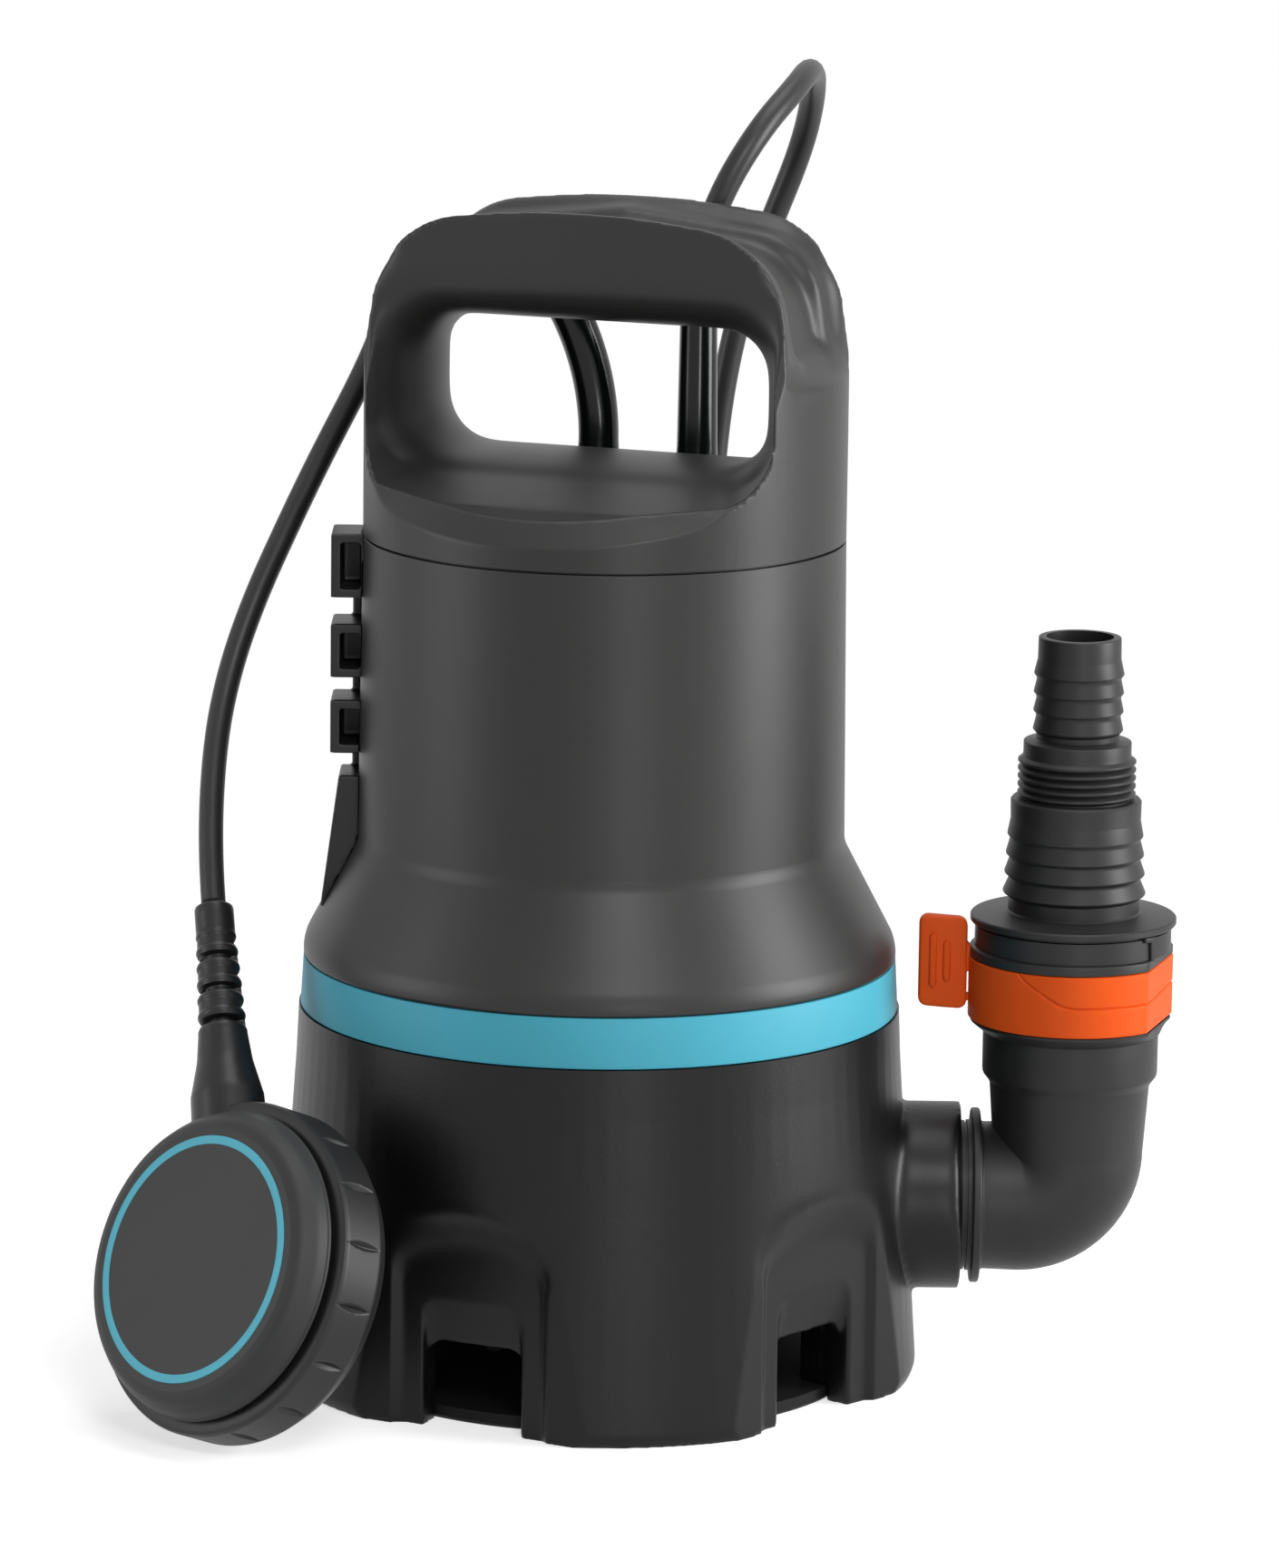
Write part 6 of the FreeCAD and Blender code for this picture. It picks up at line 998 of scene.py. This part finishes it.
def make_boot():
    places = [39.0 + step for step in range(31)] + [70.2 + 0.25 * step for step in range(124)]
    places += [102.0, 104.0, 106.0, 108.4]
    line = [(plain_boot_radius(place), place) for place in places]
    end = [(5.3, 109.0), (4.9, 109.3), (BOOT_BORE, 109.3), (BOOT_BORE, 39.0)]
    shell = turned(line + end, steps=240)
    carve(shell, BOOT_NECK, boot_radius)
    along_boot = float_place() @ Matrix.Rotation(math.radians(-90), 4, "X")
    mesh = finished_mesh("boot", joined([(shell, along_boot)]), sharp=40, turn_out=False)
    return new_piece("boot", mesh, BOOT_RUBBER, "float", ("float_boot",))


make_front_shell()
make_face_ring()
make_rear_shell()
make_boot()

# Finishes of the solids that stay as they are

KEPT = {
    "base_plate": PLATE_BLACK,
    "cable_clamp": FITTING_GREY,
    "volute_casing": PLATE_BLACK,
    "pump_cover": FITTING_GREY,
    "impeller": FITTING_GREY,
    "upper_bracket": FITTING_GREY,
    "terminal_block": PALE_PLASTIC,
    "mains_gland": SLEEVE_RUBBER,
    "float_gland": SLEEVE_RUBBER,
    "lower_shaft_seal": BOOT_RUBBER,
    "upper_shaft_seal": BOOT_RUBBER,
    "elbow_seal": BOOT_RUBBER,
    "connector_seal": BOOT_RUBBER,
    "coil_tie": PLUG_RUBBER,
    "mains_plug": PLUG_RUBBER,
    "base_screws": BRIGHT_STEEL,
    "clamp_screws": BRIGHT_STEEL,
    "motor_shaft": BRIGHT_STEEL,
    "impeller_nut": BRIGHT_STEEL,
    "tie_rods": BRIGHT_STEEL,
    "motor_can": DULL_STEEL,
    "plug_pins": BRASS_PIN,
    "lower_bearing_inner_race": BRIGHT_STEEL,
    "lower_bearing_outer_race": BRIGHT_STEEL,
    "lower_bearing_balls": BRIGHT_STEEL,
    "upper_bearing_inner_race": BRIGHT_STEEL,
    "upper_bearing_outer_race": BRIGHT_STEEL,
    "upper_bearing_balls": BRIGHT_STEEL,
    "switch_ball": BRIGHT_STEEL,
    "stator_core": DULL_STEEL,
    "rotor_core": DULL_STEEL,
    "rotor_upper_end_ring": CAST_METAL,
    "rotor_lower_end_ring": CAST_METAL,
    "start_capacitor": CAST_METAL,
    "upper_winding": COPPER_WIRE,
    "lower_winding": COPPER_WIRE,
    "switch_ball_tube": PALE_PLASTIC,
    "float_micro_switch": PALE_PLASTIC,
    "thermal_cutout": PALE_PLASTIC,
}
for node_name, finish in KEPT.items():
    paint(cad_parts[node_name], finish)

# Studio: distances in metres

SHADOW_REACH = 0.3
WHITE_FROM = 0.9
FLOOR_LIFT = 0.62
ROOM_LIGHT = 0.14


def seen_rays(tree):
    """1 for the rays that find the white background: from the camera, mirrored or through glass."""
    path = tree.nodes.new("ShaderNodeLightPath")
    ray = path.outputs["Is Camera Ray"]
    for kind in ("Is Glossy Ray", "Is Transmission Ray"):
        either = node(tree, "ShaderNodeMath", operation="MAXIMUM")
        tree.links.new(ray, either.inputs[0])
        tree.links.new(path.outputs[kind], either.inputs[1])
        ray = either.outputs[0]
    return ray


def make_floor():
    """Pale floor: near the pump it takes the shadow, further out it is plain white."""
    bm = bmesh.new()
    bmesh.ops.create_grid(bm, x_segments=1, y_segments=1, size=6)
    mesh = bpy.data.meshes.new("studio_floor")
    bm.to_mesh(mesh)
    bm.free()
    floor = loose_piece("studio_floor", mesh)
    material = bpy.data.materials.new("floor_white")
    material.use_nodes = True
    tree = material.node_tree
    shader = tree.nodes["Principled BSDF"]
    shader.inputs["Base Color"].default_value = (0.6, 0.6, 0.6, 1)
    shader.inputs["Roughness"].default_value = 1.0
    shader.inputs["Specular IOR Level"].default_value = 0.0
    place = tree.nodes.new("ShaderNodeTexCoord")
    away = node(tree, "ShaderNodeVectorMath", operation="LENGTH")
    far = tree.nodes.new("ShaderNodeMapRange")
    far.inputs["From Min"].default_value = SHADOW_REACH
    far.inputs["From Max"].default_value = WHITE_FROM
    seen = seen_rays(tree)
    white = node(tree, "ShaderNodeEmission", Strength=1.0)
    lift = tree.nodes.new("ShaderNodeEmission")
    near_share = node(tree, "ShaderNodeMath", operation="MULTIPLY")
    near_share.inputs[1].default_value = FLOOR_LIFT
    far_share = node(tree, "ShaderNodeMath", operation="MULTIPLY")
    both = tree.nodes.new("ShaderNodeAddShader")
    choice = tree.nodes.new("ShaderNodeMixShader")
    tree.links.new(place.outputs["Object"], away.inputs[0])
    tree.links.new(away.outputs["Value"], far.inputs["Value"])
    tree.links.new(seen, near_share.inputs[0])
    tree.links.new(near_share.outputs[0], lift.inputs["Strength"])
    tree.links.new(far.outputs["Result"], far_share.inputs[0])
    tree.links.new(seen, far_share.inputs[1])
    tree.links.new(shader.outputs[0], both.inputs[0])
    tree.links.new(lift.outputs[0], both.inputs[1])
    tree.links.new(far_share.outputs[0], choice.inputs[0])
    tree.links.new(both.outputs[0], choice.inputs[1])
    tree.links.new(white.outputs[0], choice.inputs[2])
    tree.links.new(choice.outputs[0], tree.nodes["Material Output"].inputs["Surface"])
    mesh.materials.append(material)


def make_world():
    world = bpy.data.worlds.new("studio_white")
    bpy.context.scene.world = world
    world.use_nodes = True
    tree = world.node_tree
    back = tree.nodes["Background"]
    back.inputs["Color"].default_value = (1, 1, 1, 1)
    level = tree.nodes.new("ShaderNodeMapRange")
    level.inputs["To Min"].default_value = ROOM_LIGHT
    level.inputs["To Max"].default_value = 1.0
    tree.links.new(seen_rays(tree), level.inputs["Value"])
    tree.links.new(level.outputs["Result"], back.inputs["Strength"])


def soft_light(name, place, aim, size, power):
    data = bpy.data.lights.new(name, "AREA")
    data.shape = "RECTANGLE"
    data.size, data.size_y = size
    data.energy = power
    lamp = loose_piece(name, data)
    lamp.location = place
    lamp.rotation_mode = "QUATERNION"
    lamp.rotation_quaternion = (Vector(aim) - Vector(place)).to_track_quat("-Z", "Y")


make_floor()
make_world()
soft_light("right_light", (1.5, -0.3, 0.52), (0, 0, 0.2), (0.6, 0.95), 29)
soft_light("left_light", (-1.45, -0.4, 0.4), (0, 0, 0.2), (0.7, 0.9), 7)
soft_light("top_light", (0.2, 0.1, 1.8), (0, 0, 0.1), (1.2, 1.0), 14)
soft_light("front_light", (0.34, -1.6, 1.4), (0, 0, 0.15), (0.55, 0.5), 13)
soft_light("low_light", (0.27, -1.17, 0.14), (0, 0, 0.1), (0.1, 0.26), 1.6)
bpy.context.scene.view_settings.view_transform = "Standard"
